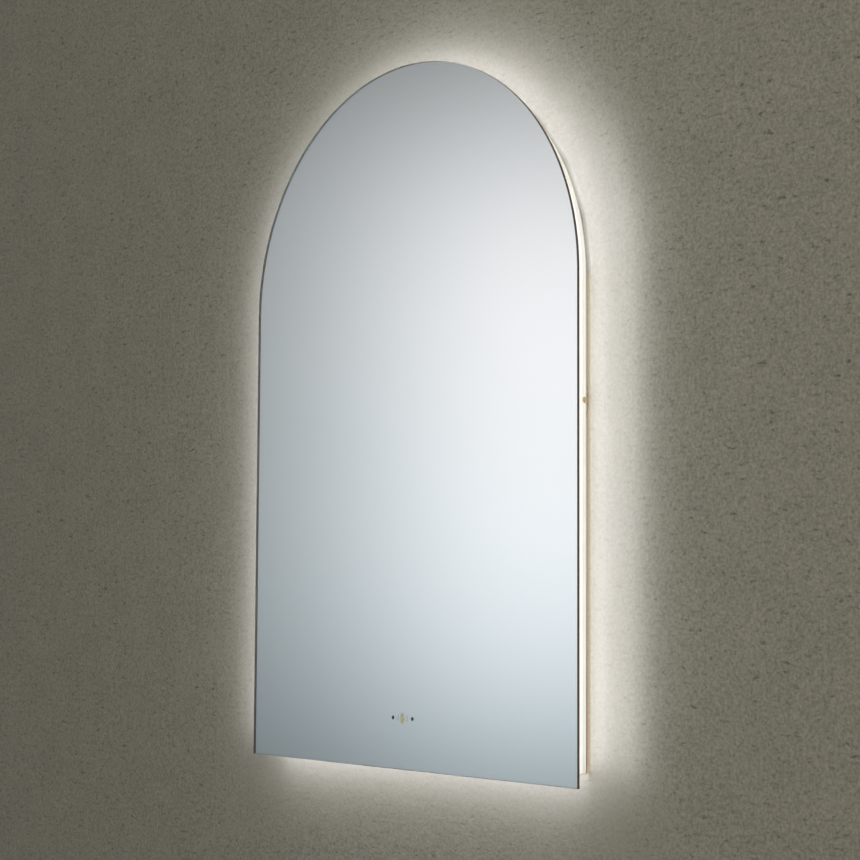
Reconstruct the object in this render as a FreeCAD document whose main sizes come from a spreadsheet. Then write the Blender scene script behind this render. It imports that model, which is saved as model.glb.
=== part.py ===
"""Lighted arch mirror for a bathroom wall, in millimetres.

A sheet of silvered glass with a half-round top is taped to an aluminium frame. The frame is set
back from the glass edge and carries a strip of light emitters that shine outwards through an opal
diffuser. A flat rear cover closes it and holds the electrics. Two hanger plates on the cover rest
on the hooks of a folded steel wall bracket, and a lock screw on each side holds the mirror down.

X runs along the wall, to the right as the mirror is seen. Y runs into the wall, whose face is
y = 0, and Z runs up. The origin is on the wall at the middle of the glass's height, midway
between the bracket's two lower wall holes. A depth is measured out from the wall, so y = -depth.
"""
import FreeCAD, Part
import math
import os
from types import SimpleNamespace

import Sketcher
from FreeCAD import Placement, Rotation, Vector

SIZES = {
    # The glass and what is stuck to it.
    "half_width": 300,
    "glass_height": 900,
    "overall_depth": 36,
    "glass_thickness": 4,
    "glass_arris": 0.5,
    "silver_thickness": 0.2,
    "silver_margin": 0.5,
    "tape_thickness": 1,
    "tape_inset": 20,
    "tape_width": 12,
    "demister_half_width": 150,
    "demister_bottom": -150,
    "demister_top": 250,
    "demister_thickness": 0.5,
    # The frame and its opal diffuser.
    "frame_inset": 15,
    "frame_wall": 1.5,
    "flange_width": 25,
    "web_inset": 27,
    "diffuser_back": 11.2,
    "diffuser_thickness": 1.5,
    "wall_gap": 3.5,
    "key_length": 34,
    "key_margin": 3,
    # The light strip.
    "strip_thickness": 0.4,
    "strip_width": 10,
    "strip_feed_offset": 80,
    "strip_gap": 12,
    "chip_pitch": 50,
    "chip_length": 3.5,
    "chip_width": 2.8,
    "chip_height": 0.8,
    # The rear cover and its screws.
    "cover_thickness": 1.2,
    "cover_clearance": 0.5,
    "cover_screw_inset": 34,
    "cover_screw_radius": 1.5,
    "cover_screw_head": 3,
    "cover_screw_head_height": 1.7,
    "cover_screw_length": 5,
    "hole_clearance": 0.1,
    "vent_radius": 2.5,
    "vent_pitch": 12,
    "vent_height": -272,
    "bumper_radius": 8,
    "bumper_side": 225,
    "bumper_height": -400,
    # The wall bracket, its hooks and the hanger plates.
    "bracket_thickness": 2,
    "rail_half_height": 15,
    "upper_rail_half_width": 215,
    "upper_rail_height": 36,
    "spine_half_width": 30,
    "bracket_corner": 5,
    "wall_hole_radius": 3.25,
    "wall_hole_side": 200,
    "upper_hole_side": 120,
    "hook_offset": 180,
    "hook_half_width": 20,
    "hook_height": 200,
    "hook_lip": 10,
    "hook_clearance": 0.9,
    "hanger_thickness": 1.5,
    "hanger_half_width": 30,
    "hanger_lip": 9,
    "hanger_flange": 25,
    "hanger_corner": 4,
    "rivet_side": 19,
    "rivet_height": 14,
    "rivet_radius": 2,
    "rivet_head": 3.8,
    "rivet_head_height": 1.1,
    # The lock screws and the bracket's slotted tabs.
    "lock_depth": 7.3,
    "lock_radius": 2,
    "lock_head_radius": 3.8,
    "lock_head_height": 2.2,
    "lock_socket_radius": 1.45,
    "lock_socket_depth": 1.3,
    "lock_slot_clearance": 0.3,
    "lock_nut_flats": 7,
    "lock_nut_height": 3.2,
    "tab_half_height": 9,
    "tab_arm": 3,
    "tab_clearance": 0.3,
    "lift_travel": 12,
    "notch_clearance": 1,
    # The cable entry, clamp, terminals and earth.
    "entry_height": -120,
    "entry_bore": 4.5,
    "grommet_neck": 9,
    "grommet_flange": 13,
    "grommet_lip": 1.5,
    "clamp_side": -32,
    "clamp_width": 8,
    "clamp_reach": 14,
    "clamp_opening": 5,
    "clamp_opening_height": 6,
    "clamp_top": 4,
    "clamp_screw_side": 9.5,
    "small_screw_radius": 1.5,
    "small_screw_head": 2.8,
    "small_screw_head_height": 1.6,
    "terminal_right": -60,
    "terminal_width": 22,
    "terminal_half_length": 17,
    "terminal_height": 16,
    "terminal_pitch": 11,
    "terminal_hole": 2,
    "terminal_wire_height": 6,
    "terminal_screw_side": 5.5,
    "terminal_screw_radius": 1.8,
    "terminal_screw_depth": 2,
    "earth_side": -130,
    "earth_height": -100,
    "earth_radius": 2,
    "earth_length": 11,
    "earth_nut_flats": 7,
    "earth_nut_height": 3.2,
    # The driver in its case.
    "driver_left": 30,
    "driver_length": 150,
    "driver_bottom": -222,
    "driver_width": 44,
    "driver_height": 18,
    "driver_base_height": 6,
    "driver_wall": 1.5,
    "driver_ear": 12,
    "driver_ear_width": 20,
    "driver_post": 2,
    "driver_post_radius": 2.5,
    "driver_post_inset": 8,
    "board_thickness": 1.6,
    "board_clearance": 0.5,
    # The touchless switch behind the glass.
    "sensor_height": 64,
    "sensor_offset": 18,
    "sensor_window_radius": 2.5,
    "sensor_half_width": 32,
    "sensor_half_height": 17,
    "sensor_depth": 12,
    "sensor_wall": 1.5,
    "sensor_post": 2.5,
    "sensor_post_radius": 2,
    "sensor_bulb_radius": 2.3,
    "sensor_bulb_clearance": 0.3,
    "guide_half_width": 6,
    "guide_half_height": 8.5,
    "guide_depth": 4.8,
    "icon_height": 14,
    "icon_width": 9.6,
    "icon_arc_side": 8.8,
    "icon_arc_height": 7.5,
    "icon_arc_width": 0.7,
    "icon_clearance": 0.03,
    # The leads inside.
    "mains_lead_radius": 2.5,
    "lead_radius": 1.6,
    "lead_clearance": 0.2,
    "lead_run_length": 10,
    "boot_length": 20,
    "boot_width": 12,
    "boot_height": 4,
    "clip_wall": 2,
    "clip_length": 8,
}


class Size:
    """A length as its value and as the expression that ties it to the sheet."""

    def __init__(self, text, value):
        self.text = text
        self.value = value

    def __add__(self, other):
        other = as_size(other)
        return Size(f"({self.text} + {other.text})", self.value + other.value)

    def __sub__(self, other):
        other = as_size(other)
        return Size(f"({self.text} - {other.text})", self.value - other.value)

    def __mul__(self, factor):
        return Size(f"({self.text} * {factor:.9g})", self.value * factor)

    def __truediv__(self, divisor):
        return Size(f"({self.text} / {divisor:.9g})", self.value / divisor)

    def __neg__(self):
        return Size(f"(0 - {self.text})", -self.value)


def as_size(number):
    """A plain number as a Size."""
    if isinstance(number, Size):
        return number
    return Size(f"{number:.9g}", float(number))


ZERO = as_size(0)
OVERRUN = 1  # how far a cutting tool runs past the face it cuts
# Each finger of the switch's pictogram: how far it stands to the side, as a share of the width,
# and how high its tip's middle is, as a share of the height.
FINGERS = ((-0.24, 0.30), (-0.08, 0.42), (0.08, 0.38), (0.24, 0.24))
VENT_ROWS = 3
VENT_COLUMNS = 9
SIDE_BAY_RUNS = 5.6  # lead runs that fit between the driver and the frame
FRONT_AXIS = Rotation(Vector(1, 0, 0), 90)
RIGHT_AXIS = Rotation(Vector(0, 1, 0), 90)

doc = FreeCAD.newDocument("ArchMirror")
nodes = []


def write_sheet(sizes):
    """Put the driving sizes on the sheet and give them back by name."""
    sheet = doc.addObject("Spreadsheet::Sheet", "Sizes")
    for row, (name, value) in enumerate(sizes.items(), start=1):
        sheet.set(f"A{row}", name)
        sheet.set(f"B{row}", str(value))
        sheet.setAlias(f"B{row}", name)
    doc.recompute()
    return SimpleNamespace(
        **{name: Size(f"Sizes.{name}", float(sheet.get(name))) for name in sizes})


s = write_sheet(SIZES)

# Depths of the layers, from the glass's face back to the wall.
glass_back = s.overall_depth - s.glass_thickness
silver_back = glass_back - s.silver_thickness
flange_front = silver_back - s.tape_thickness
flange_back = flange_front - s.frame_wall
shelf_front = s.diffuser_back
shelf_back = shelf_front - s.frame_wall
cover_front = shelf_back
cover_back = cover_front - s.cover_thickness

# Places that several pieces share.
glass_bottom = -(s.glass_height / 2)
spring_height = s.glass_height / 2 - s.half_width
band_inside = s.half_width - s.frame_inset - s.frame_wall
web_inside_inset = s.web_inset + s.frame_wall
flange_inner_inset = s.frame_inset + s.flange_width
hook_front = cover_back - s.hook_clearance
hook_back = hook_front - s.bracket_thickness
hanger_lip_front = hook_back - s.hook_clearance
hanger_back = hanger_lip_front - s.hanger_thickness
hanger_seat = s.hook_height + s.hook_lip
rivet_line = hanger_seat + s.rivet_height
tab_outside = band_inside - s.tab_clearance
tab_inside = tab_outside - s.bracket_thickness
nut_outside = tab_inside - s.tab_clearance
nut_inside = nut_outside - s.lock_nut_height
lock_tip = nut_inside - s.tab_clearance
notch_inside = lock_tip - s.notch_clearance
notch_low = -(s.tab_half_height + s.lift_travel + s.notch_clearance)
notch_high = s.tab_half_height + s.notch_clearance
lead_depth = cover_front + s.lead_radius + s.lead_clearance
mains_lead_depth = cover_front + s.mains_lead_radius + s.lead_clearance
sensor_line = glass_bottom + s.sensor_height
driver_right = s.driver_left + s.driver_length
driver_top = s.driver_bottom + s.driver_width
run = s.lead_run_length


# ---------------------------------------------------------------- drawing helpers

def bind(thing, field, size):
    """Tie one property of a document object to the sheet."""
    thing.setExpression(field, as_size(size).text)


def node(label, thing):
    """Name an object as one piece of the mirror."""
    thing.Label = label
    nodes.append(thing)
    return thing


def new_sketch(body, role, offset):
    """A sketch on one of the body's own planes, moved along its normal."""
    plane = next(p for p in body.Origin.OriginFeatures if p.Role == role)
    sketch = body.newObject("Sketcher::SketchObject", body.Name + "Sketch")
    sketch.AttachmentSupport = (plane, [""])
    sketch.MapMode = "FlatFace"
    bind(sketch, "AttachmentOffset.Base.z", offset)
    return sketch


def pin(sketch, geometry, position, across, up):
    """Hold a point of the sketch at two bound distances from its origin."""
    for size, kind, axis in ((across, "DistanceX", -2), (up, "DistanceY", -1)):
        if size.value == 0:
            sketch.addConstraint(Sketcher.Constraint("PointOnObject", geometry, position, axis))
            continue
        number = sketch.addConstraint(
            Sketcher.Constraint(kind, geometry, position, size.value))
        bind(sketch, f"Constraints[{number}]", size)


def draw_loop(sketch, loop):
    """A closed outline. Its corners are pairs of sizes, and each edge that starts at a corner
    named in the loop's arcs is an arc about the mirror's upright centre line."""
    corners, arcs = loop
    ends = []
    for index, (across, up) in enumerate(corners):
        next_across, next_up = corners[(index + 1) % len(corners)]
        if index in arcs:
            centre = Vector(0, up.value, 0)
            circle = Part.Circle(centre, Vector(0, 0, 1), abs(across.value))
            edge = sketch.addGeometry(Part.ArcOfCircle(circle, 0, math.pi))
            number = sketch.addConstraint(Sketcher.Constraint("DistanceY", edge, 3, up.value))
            bind(sketch, f"Constraints[{number}]", up)
            ends.append((edge, 1, 2) if across.value > 0 else (edge, 2, 1))
        else:
            start = Vector(across.value, up.value, 0)
            stop = Vector(next_across.value, next_up.value, 0)
            ends.append((sketch.addGeometry(Part.LineSegment(start, stop)), 1, 2))
    for index, (edge, first, last) in enumerate(ends):
        next_edge, next_first, _ = ends[(index + 1) % len(ends)]
        sketch.addConstraint(Sketcher.Constraint("Coincident", edge, last, next_edge, next_first))
        pin(sketch, edge, first, *corners[index])


def draw_hole(sketch, across, up, radius):
    """A circle with a bound centre and radius."""
    centre = Vector(across.value, up.value, 0)
    edge = sketch.addGeometry(Part.Circle(centre, Vector(0, 0, 1), radius.value))
    pin(sketch, edge, 3, across, up)
    number = sketch.addConstraint(Sketcher.Constraint("Radius", edge, radius.value))
    bind(sketch, f"Constraints[{number}]", radius)


def feature(body, kind, sketch, length):
    """A pad or pocket of a sketch."""
    made = body.newObject("PartDesign::" + kind, body.Name + kind)
    made.Profile = sketch
    bind(made, "Length", length)
    return made


def pad_flat(body, back, front, loops, holes=()):
    """Pad outlines that lie parallel to the wall, from one depth out to another."""
    sketch = new_sketch(body, "XZ_Plane", back)
    for loop in loops:
        draw_loop(sketch, loop)
    for across, up, radius in holes:
        draw_hole(sketch, across, up, radius)
    return feature(body, "Pad", sketch, front - back)


def pocket_flat(body, back, front, loops):
    """Cut outlines that lie parallel to the wall, from one depth back to another."""
    sketch = new_sketch(body, "XZ_Plane", front)
    for loop in loops:
        draw_loop(sketch, loop)
    return feature(body, "Pocket", sketch, front - back)


def pad_side(body, left, width, loop):
    """Pad an outline of (depth, height) corners along X, starting at `left`."""
    corners, arcs = loop
    sketch = new_sketch(body, "YZ_Plane", left)
    draw_loop(sketch, ([(-depth, up) for depth, up in corners], arcs))
    return feature(body, "Pad", sketch, width)


def new_body(name):
    """An empty PartDesign body."""
    return doc.addObject("PartDesign::Body", name)


def round_corners(body, sheet, radius):
    """Round a sheet's free corners: its short straight edges square to the wall."""
    doc.recompute()
    corners = [f"Edge{number}" for number, edge in enumerate(sheet.Shape.Edges, start=1)
               if edge.Curve.TypeId == "Part::GeomLine"
               and max(edge.BoundBox.XLength, edge.BoundBox.ZLength) < 0.01
               and edge.Length < s.bracket_thickness.value * 1.5]
    rounding = body.newObject("PartDesign::Fillet", body.Name + "Corners")
    rounding.Base = (sheet, corners)
    bind(rounding, "Radius", radius)


def block(name, left, right, back, front, bottom, top):
    """A box between two sides, two depths and two heights."""
    box = doc.addObject("Part::Box", name)
    bind(box, "Length", right - left)
    bind(box, "Width", front - back)
    bind(box, "Height", top - bottom)
    bind(box, "Placement.Base.x", left)
    bind(box, "Placement.Base.y", -front)
    bind(box, "Placement.Base.z", bottom)
    return box


def place_round(thing, axis, across, depth, up):
    """Turn a round primitive and bind its place."""
    thing.Placement = Placement(Vector(), axis)
    bind(thing, "Placement.Base.x", across)
    bind(thing, "Placement.Base.y", -depth)
    bind(thing, "Placement.Base.z", up)
    return thing


def pin_out(name, across, up, back, front, radius):
    """A cylinder square to the wall, between two depths."""
    rod = doc.addObject("Part::Cylinder", name)
    bind(rod, "Radius", radius)
    bind(rod, "Height", front - back)
    return place_round(rod, FRONT_AXIS, as_size(across), back, as_size(up))


def pin_across(name, left, right, depth, up, radius):
    """A cylinder along X, between two sides."""
    rod = doc.addObject("Part::Cylinder", name)
    bind(rod, "Radius", radius)
    bind(rod, "Height", right - left)
    return place_round(rod, RIGHT_AXIS, left, depth, as_size(up))


def hex_nut(name, axis, across, depth, up, flats, height, bore):
    """A plain hexagon nut whose lower face is at the given place."""
    prism = doc.addObject("Part::Prism", name + "Prism")
    prism.Polygon = 6
    bind(prism, "Circumradius", flats / math.sqrt(3))
    bind(prism, "Height", height)
    place_round(prism, axis, across, depth, up)
    thread = doc.addObject("Part::Cylinder", name + "Thread")
    bind(thread, "Radius", bore)
    bind(thread, "Height", height)
    place_round(thread, axis, across, depth, up)
    return cut(name, prism, [thread])


def fuse(name, things):
    """One solid from several that meet."""
    whole = doc.addObject("Part::MultiFuse", name)
    whole.Shapes = things
    return whole


def cut(name, base, tools):
    """A piece with one or more tools taken out of it."""
    result = doc.addObject("Part::Cut", name)
    result.Base = base
    result.Tool = tools[0] if len(tools) == 1 else fuse(name + "Tools", tools)
    return result


def group(name, things):
    """Separate solids that share one node."""
    compound = doc.addObject("Part::Compound", name)
    compound.Links = things
    return compound


def mirrored(name, source):
    """The same piece on the other side of the centre line."""
    copy = doc.addObject("Part::Mirroring", name)
    copy.Source = source
    copy.Normal = Vector(1, 0, 0)
    copy.Base = Vector(0, 0, 0)
    return copy


# ---------------------------------------------------------------- outlines

def arch_edges(inset):
    """Half width and bottom height of the arch drawn in by `inset`."""
    return s.half_width - inset, glass_bottom + inset


def arch(inset):
    """The mirror's outline, drawn in all round by `inset`."""
    half, bottom = arch_edges(as_size(inset))
    corners = [(half, bottom), (half, spring_height), (-half, spring_height), (-half, bottom)]
    return corners, {1}


def hoop(outer_inset, inner_inset):
    """The sides and half-round top of a frame, with mitred feet."""
    half, bottom = arch_edges(outer_inset)
    inner_half, inner_bottom = arch_edges(inner_inset)
    corners = [
        (half, bottom), (half, spring_height), (-half, spring_height), (-half, bottom),
        (-inner_half, inner_bottom), (-inner_half, spring_height),
        (inner_half, spring_height), (inner_half, inner_bottom),
    ]
    return corners, {1, 5}


def sill(outer_inset, inner_inset):
    """The straight bottom of a frame, with mitred ends."""
    half, bottom = arch_edges(outer_inset)
    inner_half, inner_bottom = arch_edges(inner_inset)
    corners = [(half, bottom), (inner_half, inner_bottom),
               (-inner_half, inner_bottom), (-half, bottom)]
    return corners, set()


def open_ring(outer_inset, inner_inset, gap_left, gap_right):
    """A whole arch ring with a gap in its bottom run."""
    half, bottom = arch_edges(outer_inset)
    inner_half, inner_bottom = arch_edges(inner_inset)
    corners = [
        (gap_right, bottom), (half, bottom), (half, spring_height),
        (-half, spring_height), (-half, bottom), (gap_left, bottom),
        (gap_left, inner_bottom), (-inner_half, inner_bottom), (-inner_half, spring_height),
        (inner_half, spring_height), (inner_half, inner_bottom), (gap_right, inner_bottom),
    ]
    return corners, {2, 8}


def rectangle(left, right, bottom, top):
    """A rectangle between two sides and two heights."""
    return [(left, bottom), (right, bottom), (right, top), (left, top)], set()


def cover_screw_spots():
    """Where the rear cover is screwed to the frame: the sill's screws, then the hoop's."""
    reach, low = arch_edges(s.cover_screw_inset)
    on_sill = [(reach * share, low) for share in (-0.5, 0.5)]
    straight = spring_height - low
    on_hoop = [(reach * side, low + straight * share)
               for share in (0.2, 0.55, 0.9) for side in (-1, 1)]
    for degrees in (30, 60, 90, 120, 150):
        angle = math.radians(degrees)
        across = ZERO if degrees == 90 else reach * math.cos(angle)
        on_hoop.append((across, spring_height + reach * math.sin(angle)))
    return on_sill, on_hoop


SILL_SCREWS, HOOP_SCREWS = cover_screw_spots()
COVER_SCREWS = SILL_SCREWS + HOOP_SCREWS
cover_screw_hole = s.cover_screw_radius + s.hole_clearance
small_screw_hole = s.small_screw_radius + s.hole_clearance
rivet_hole = s.rivet_radius + s.hole_clearance
RIVETS = [(s.hook_offset * side + s.rivet_side * offset, rivet_line)
          for side in (-1, 1) for offset in (-1, 1)]


# ---------------------------------------------------------------- glass and switch window

def capsule(x_start, z_start, x_end, z_end, radius):
    """A flat stroke with round ends, in the plane y = 0."""
    start = Vector(x_start, 0, z_start)
    end = Vector(x_end, 0, z_end)
    along = end.sub(start)
    along.normalize()
    beside = Vector(along.z, 0, -along.x).multiply(radius)
    cap = Vector(along).multiply(radius)
    edges = [
        Part.LineSegment(start.add(beside), end.add(beside)).toShape(),
        Part.Arc(end.add(beside), end.add(cap), end.sub(beside)).toShape(),
        Part.LineSegment(end.sub(beside), start.sub(beside)).toShape(),
        Part.Arc(start.sub(beside), start.sub(cap), start.add(beside)).toShape(),
    ]
    return Part.Face(Part.Wire(edges))


def icon_faces(grow):
    """The raised-hand pictogram and the two curved strokes beside it, grown all round."""
    high = s.icon_height.value
    wide = s.icon_width.value
    finger = wide * 0.1 + grow
    palm = wide * 0.34 + grow
    palm_side = -wide * 0.06
    palm_low = -high * 0.26
    knuckle = high * 0.02
    hand = [capsule(palm_side + wide * across, palm_low,
                    palm_side + wide * across, high * tip, finger)
            for across, tip in FINGERS]
    hand.append(capsule(palm_side, palm_low, palm_side, knuckle - palm / 2, palm))
    hand.append(capsule(palm_side + palm / 2, palm_low, wide * 0.42, -high * 0.06, finger))
    whole_hand = hand[0].multiFuse(hand[1:]).removeSplitter()
    curved = []
    for side in (-1, 1):
        reach = s.icon_arc_height.value / 2
        bulge = reach * 0.4
        radius = (reach ** 2 + bulge ** 2) / (2 * bulge)
        middle = Vector(side * (s.icon_arc_side.value - radius), 0, 0)
        half_width = s.icon_arc_width.value / 2 + grow
        swing = math.asin(reach / radius)
        corners = [(radius + half_width, -swing), (radius + half_width, 0),
                   (radius + half_width, swing), (radius - half_width, swing),
                   (radius - half_width, 0), (radius - half_width, -swing)]
        spots = [middle.add(Vector(side * far * math.cos(turn), 0, far * math.sin(turn)))
                 for far, turn in corners]
        edges = [
            Part.Arc(*spots[:3]).toShape(),
            Part.LineSegment(spots[2], spots[3]).toShape(),
            Part.Arc(*spots[3:]).toShape(),
            Part.LineSegment(spots[5], spots[0]).toShape(),
        ]
        curved.append(Part.Face(Part.Wire(edges)))
    return [whole_hand] + curved


def icon_solids(name, grow):
    """The pictogram as solids that fill the silver's thickness."""
    solids = []
    lift = Vector(0, -s.silver_thickness.value, 0)
    for face in icon_faces(grow):
        solids += face.extrude(lift).Solids
    icon = doc.addObject("Part::Feature", name)
    icon.Shape = Part.makeCompound(solids)
    icon.Placement = Placement(Vector(0, -silver_back.value, sensor_line.value), Rotation())
    return icon


def make_glass():
    body = new_body("Glass")
    slab = pad_flat(body, glass_back, s.overall_depth, [arch(0)])
    doc.recompute()
    rim = [f"Edge{number}" for number, edge in enumerate(slab.Shape.Edges, start=1)
           if edge.BoundBox.YLength < 0.01]
    arris = body.newObject("PartDesign::Chamfer", "GlassArris")
    arris.Base = (slab, rim)
    bind(arris, "Size", s.glass_arris)
    node("mirror_glass", body)


def make_silver():
    body = new_body("Silver")
    windows = [(s.sensor_offset * side, sensor_line, s.sensor_window_radius) for side in (-1, 1)]
    pad_flat(body, silver_back, glass_back, [arch(s.silver_margin)], windows)
    icon_hole = icon_solids("IconHole", s.icon_clearance.value)
    node("mirror_silver", cut("SilverCut", body, [icon_hole]))
    node("control_icon", icon_solids("Icon", 0))
    window = s.sensor_window_radius - s.icon_clearance
    discs = [pin_out("SensorWindow", s.sensor_offset * side, sensor_line,
                     silver_back, glass_back, window) for side in (-1, 1)]
    node("sensor_windows", group("SensorWindows", discs))


def make_tape():
    body = new_body("Tape")
    inner = s.tape_inset + s.tape_width
    pad_flat(body, flange_front, silver_back, [arch(s.tape_inset), arch(inner)])
    node("bond_tape", body)


def make_demister():
    back = silver_back - s.demister_thickness
    pad = block("DemisterPad", -s.demister_half_width, s.demister_half_width,
                back, silver_back, s.demister_bottom, s.demister_top)
    right = s.demister_half_width - s.demister_half_width / 4
    boot = block("DemisterBoot", right - s.boot_length, right, back - s.boot_height, back,
                 s.demister_bottom, s.demister_bottom + s.boot_width)
    node("demister_pad", fuse("Demister", [pad, boot]))
    return right, back - s.boot_height / 2, s.demister_bottom + s.boot_width / 2


# ---------------------------------------------------------------- switch

def make_switch():
    back = silver_back - s.sensor_depth
    floor_front = back + s.sensor_wall
    board_back = floor_front + s.sensor_post
    board_front = board_back + s.board_thickness
    low = sensor_line - s.sensor_half_height
    high = sensor_line + s.sensor_half_height
    half = s.sensor_half_width
    wall = s.sensor_wall

    housing = new_body("SensorHousing")
    pad_flat(housing, back, floor_front, [rectangle(-half, half, low, high)])
    pad_flat(housing, floor_front, silver_back,
             [rectangle(-half, half, low, high),
              rectangle(wall - half, half - wall, low + wall, high - wall)])
    inset = wall + s.sensor_post_radius + s.board_clearance
    posts = [((half - inset) * side, sensor_line + (s.sensor_half_height - inset) * level,
              s.sensor_post_radius) for side in (-1, 1) for level in (-1, 1)]
    pad_flat(housing, floor_front, board_back, [], posts)
    node("sensor_housing", housing)

    edge = wall + s.board_clearance
    board = new_body("SensorBoard")
    pad_flat(board, board_back, board_front,
             [rectangle(edge - half, half - edge, low + edge, high - edge)])
    node("sensor_board", board)

    for label, side in (("ir_emitter", -1), ("ir_receiver", 1)):
        tip = silver_back - s.sensor_bulb_clearance
        shoulder = tip - s.sensor_bulb_radius
        stem = pin_out(label + "Stem", s.sensor_offset * side, sensor_line,
                       board_front, shoulder, s.sensor_bulb_radius)
        dome = doc.addObject("Part::Sphere", label + "Dome")
        bind(dome, "Radius", s.sensor_bulb_radius)
        place_round(dome, FRONT_AXIS, s.sensor_offset * side, shoulder, sensor_line)
        node(label, fuse(label + "Bulb", [stem, dome]))

    guide_back = silver_back - s.guide_depth
    node("icon_light_guide", block(
        "LightGuide", -s.guide_half_width, s.guide_half_width, guide_back, silver_back,
        sensor_line - s.guide_half_height, sensor_line + s.guide_half_height))
    emitter = s.chip_length / 2
    node("icon_light", block("IconLight", -emitter, emitter, board_front, guide_back,
                             sensor_line - emitter, sensor_line + emitter))
    return high, board_front


# ---------------------------------------------------------------- frame, diffuser, light

def make_frame():
    notch = rectangle(notch_inside, band_inside, notch_low, notch_high)
    far_notch = ([(-across, up) for across, up in notch[0]], set())
    outside = s.half_width - s.frame_inset
    for label, shape, screws in (("frame_arch", hoop, HOOP_SCREWS),
                                 ("frame_base", sill, SILL_SCREWS)):
        body = new_body(label + "Body")
        holes = [(across, up, cover_screw_hole) for across, up in screws]
        pad_flat(body, shelf_back, shelf_front, [shape(s.frame_inset, flange_inner_inset)], holes)
        pad_flat(body, shelf_front, flange_back, [shape(s.web_inset, web_inside_inset)])
        pad_flat(body, flange_back, flange_front, [shape(s.frame_inset, flange_inner_inset)])
        band_inset = s.frame_inset + s.frame_wall
        pad_flat(body, s.wall_gap, shelf_back, [shape(s.frame_inset, band_inset)])
        if label == "frame_arch":
            pocket_flat(body, shelf_back, shelf_front, [notch, far_notch])
            hole = s.lock_radius + s.lock_slot_clearance
            inner = band_inside - OVERRUN
            outer = outside + OVERRUN
            drills = [pin_across("LockDrill", inner, outer, s.lock_depth, 0, hole),
                      pin_across("LockDrill", -outer, -inner, s.lock_depth, 0, hole)]
        else:
            hole = s.lead_radius + s.lead_clearance
            feed = doc.addObject("Part::Cylinder", "FeedDrill")
            bind(feed, "Radius", hole)
            bind(feed, "Height", s.frame_wall + OVERRUN * 2)
            place_round(feed, Rotation(), s.strip_feed_offset, strip_depth(),
                        glass_bottom + s.web_inset - OVERRUN)
            drills = [feed]
        node(label, cut(label + "Drilled", body, drills))


def strip_depth():
    """Depth of the middle of the light strip, halfway up the frame's web."""
    return (shelf_front + flange_back) / 2


def make_corner_keys():
    """An angle behind each mitre, on the inner side of the web."""
    half, bottom = arch_edges(web_inside_inset)
    thick = s.frame_wall
    body = new_body("CornerKey")
    corners = [(half, bottom), (half, bottom + s.key_length), (half - thick, bottom + s.key_length),
               (half - thick, bottom + thick), (half - s.key_length, bottom + thick),
               (half - s.key_length, bottom)]
    pad_flat(body, shelf_front + s.key_margin, flange_back - s.key_margin, [(corners, set())])
    node("corner_keys", group("CornerKeys", [body, mirrored("CornerKeyLeft", body)]))


def make_diffusers():
    inner = s.frame_inset + s.diffuser_thickness
    for label, shape in (("diffuser_arch", hoop), ("diffuser_base", sill)):
        body = new_body(label + "Body")
        pad_flat(body, shelf_front, flange_back, [shape(s.frame_inset, inner)])
        node(label, body)


def chip_spots(inset):
    """Middle and outward angle of each light emitter, evenly spaced round an arch."""
    half, bottom = arch_edges(inset)
    side = spring_height.value - bottom.value
    pitch = s.chip_pitch.value
    spots = []
    count = int(side / pitch)
    for number in range(count):
        up = bottom.value + (number + 0.5) * side / count
        spots += [(half.value, up, 0), (-half.value, up, math.pi)]
    count = int(math.pi * half.value / pitch)
    for number in range(count):
        turn = (number + 0.5) * math.pi / count
        spots.append((half.value * math.cos(turn),
                      spring_height.value + half.value * math.sin(turn), turn))
    count = int(2 * half.value / pitch)
    for number in range(count):
        across = -half.value + (number + 0.5) * 2 * half.value / count
        spots.append((across, bottom.value, -math.pi / 2))
    feed = s.strip_feed_offset.value
    clear = (s.strip_gap.value + s.chip_length.value) / 2
    return [spot for spot in spots if spot[2] >= 0 or abs(spot[0] - feed) > clear]


def make_strip():
    outer = s.web_inset - s.strip_thickness
    body = new_body("Strip")
    loop = open_ring(outer, s.web_inset, s.strip_feed_offset - s.strip_gap / 2,
                     s.strip_feed_offset + s.strip_gap / 2)
    pad_flat(body, strip_depth() - s.strip_width / 2, strip_depth() + s.strip_width / 2, [loop])
    node("led_strip", body)

    high = s.chip_height.value
    length = s.chip_length.value
    width = s.chip_width.value
    chips = []
    for across, up, turn in chip_spots(outer):
        corner = Vector(0, -width / 2, -length / 2)
        chip = Part.makeBox(high, width, length, corner)
        chip.Placement = Placement(Vector(across, -strip_depth().value, up),
                                   Rotation(Vector(0, 1, 0), -math.degrees(turn)))
        chips.append(chip)
    emitters = doc.addObject("Part::Feature", "Chips")
    emitters.Shape = Part.makeCompound(chips)
    node("led_chips", emitters)


# ---------------------------------------------------------------- rear cover

def make_cover(fixings):
    """The flat rear cover. `fixings` are the holes that other pieces need in it."""
    body = new_body("Cover")
    inset = s.frame_inset + s.frame_wall + s.cover_clearance
    holes = [(across, up, cover_screw_hole) for across, up in COVER_SCREWS]
    holes += [(across, up, rivet_hole) for across, up in RIVETS]
    holes.append((ZERO, s.entry_height, s.grommet_neck))
    holes += fixings
    middle = s.driver_left + s.driver_length / 2
    for row in range(VENT_ROWS):
        for column in range(VENT_COLUMNS):
            across = middle + s.vent_pitch * (column - (VENT_COLUMNS - 1) / 2)
            holes.append((across, s.vent_height - s.vent_pitch * row, s.vent_radius))
    pad_flat(body, cover_back, cover_front, [arch(inset)], holes)
    notch = rectangle(notch_inside, s.half_width - inset + OVERRUN, notch_low, notch_high)
    far_notch = ([(-across, up) for across, up in notch[0]], set())
    pocket_flat(body, cover_back, cover_front, [notch, far_notch])
    node("rear_cover", body)


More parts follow.
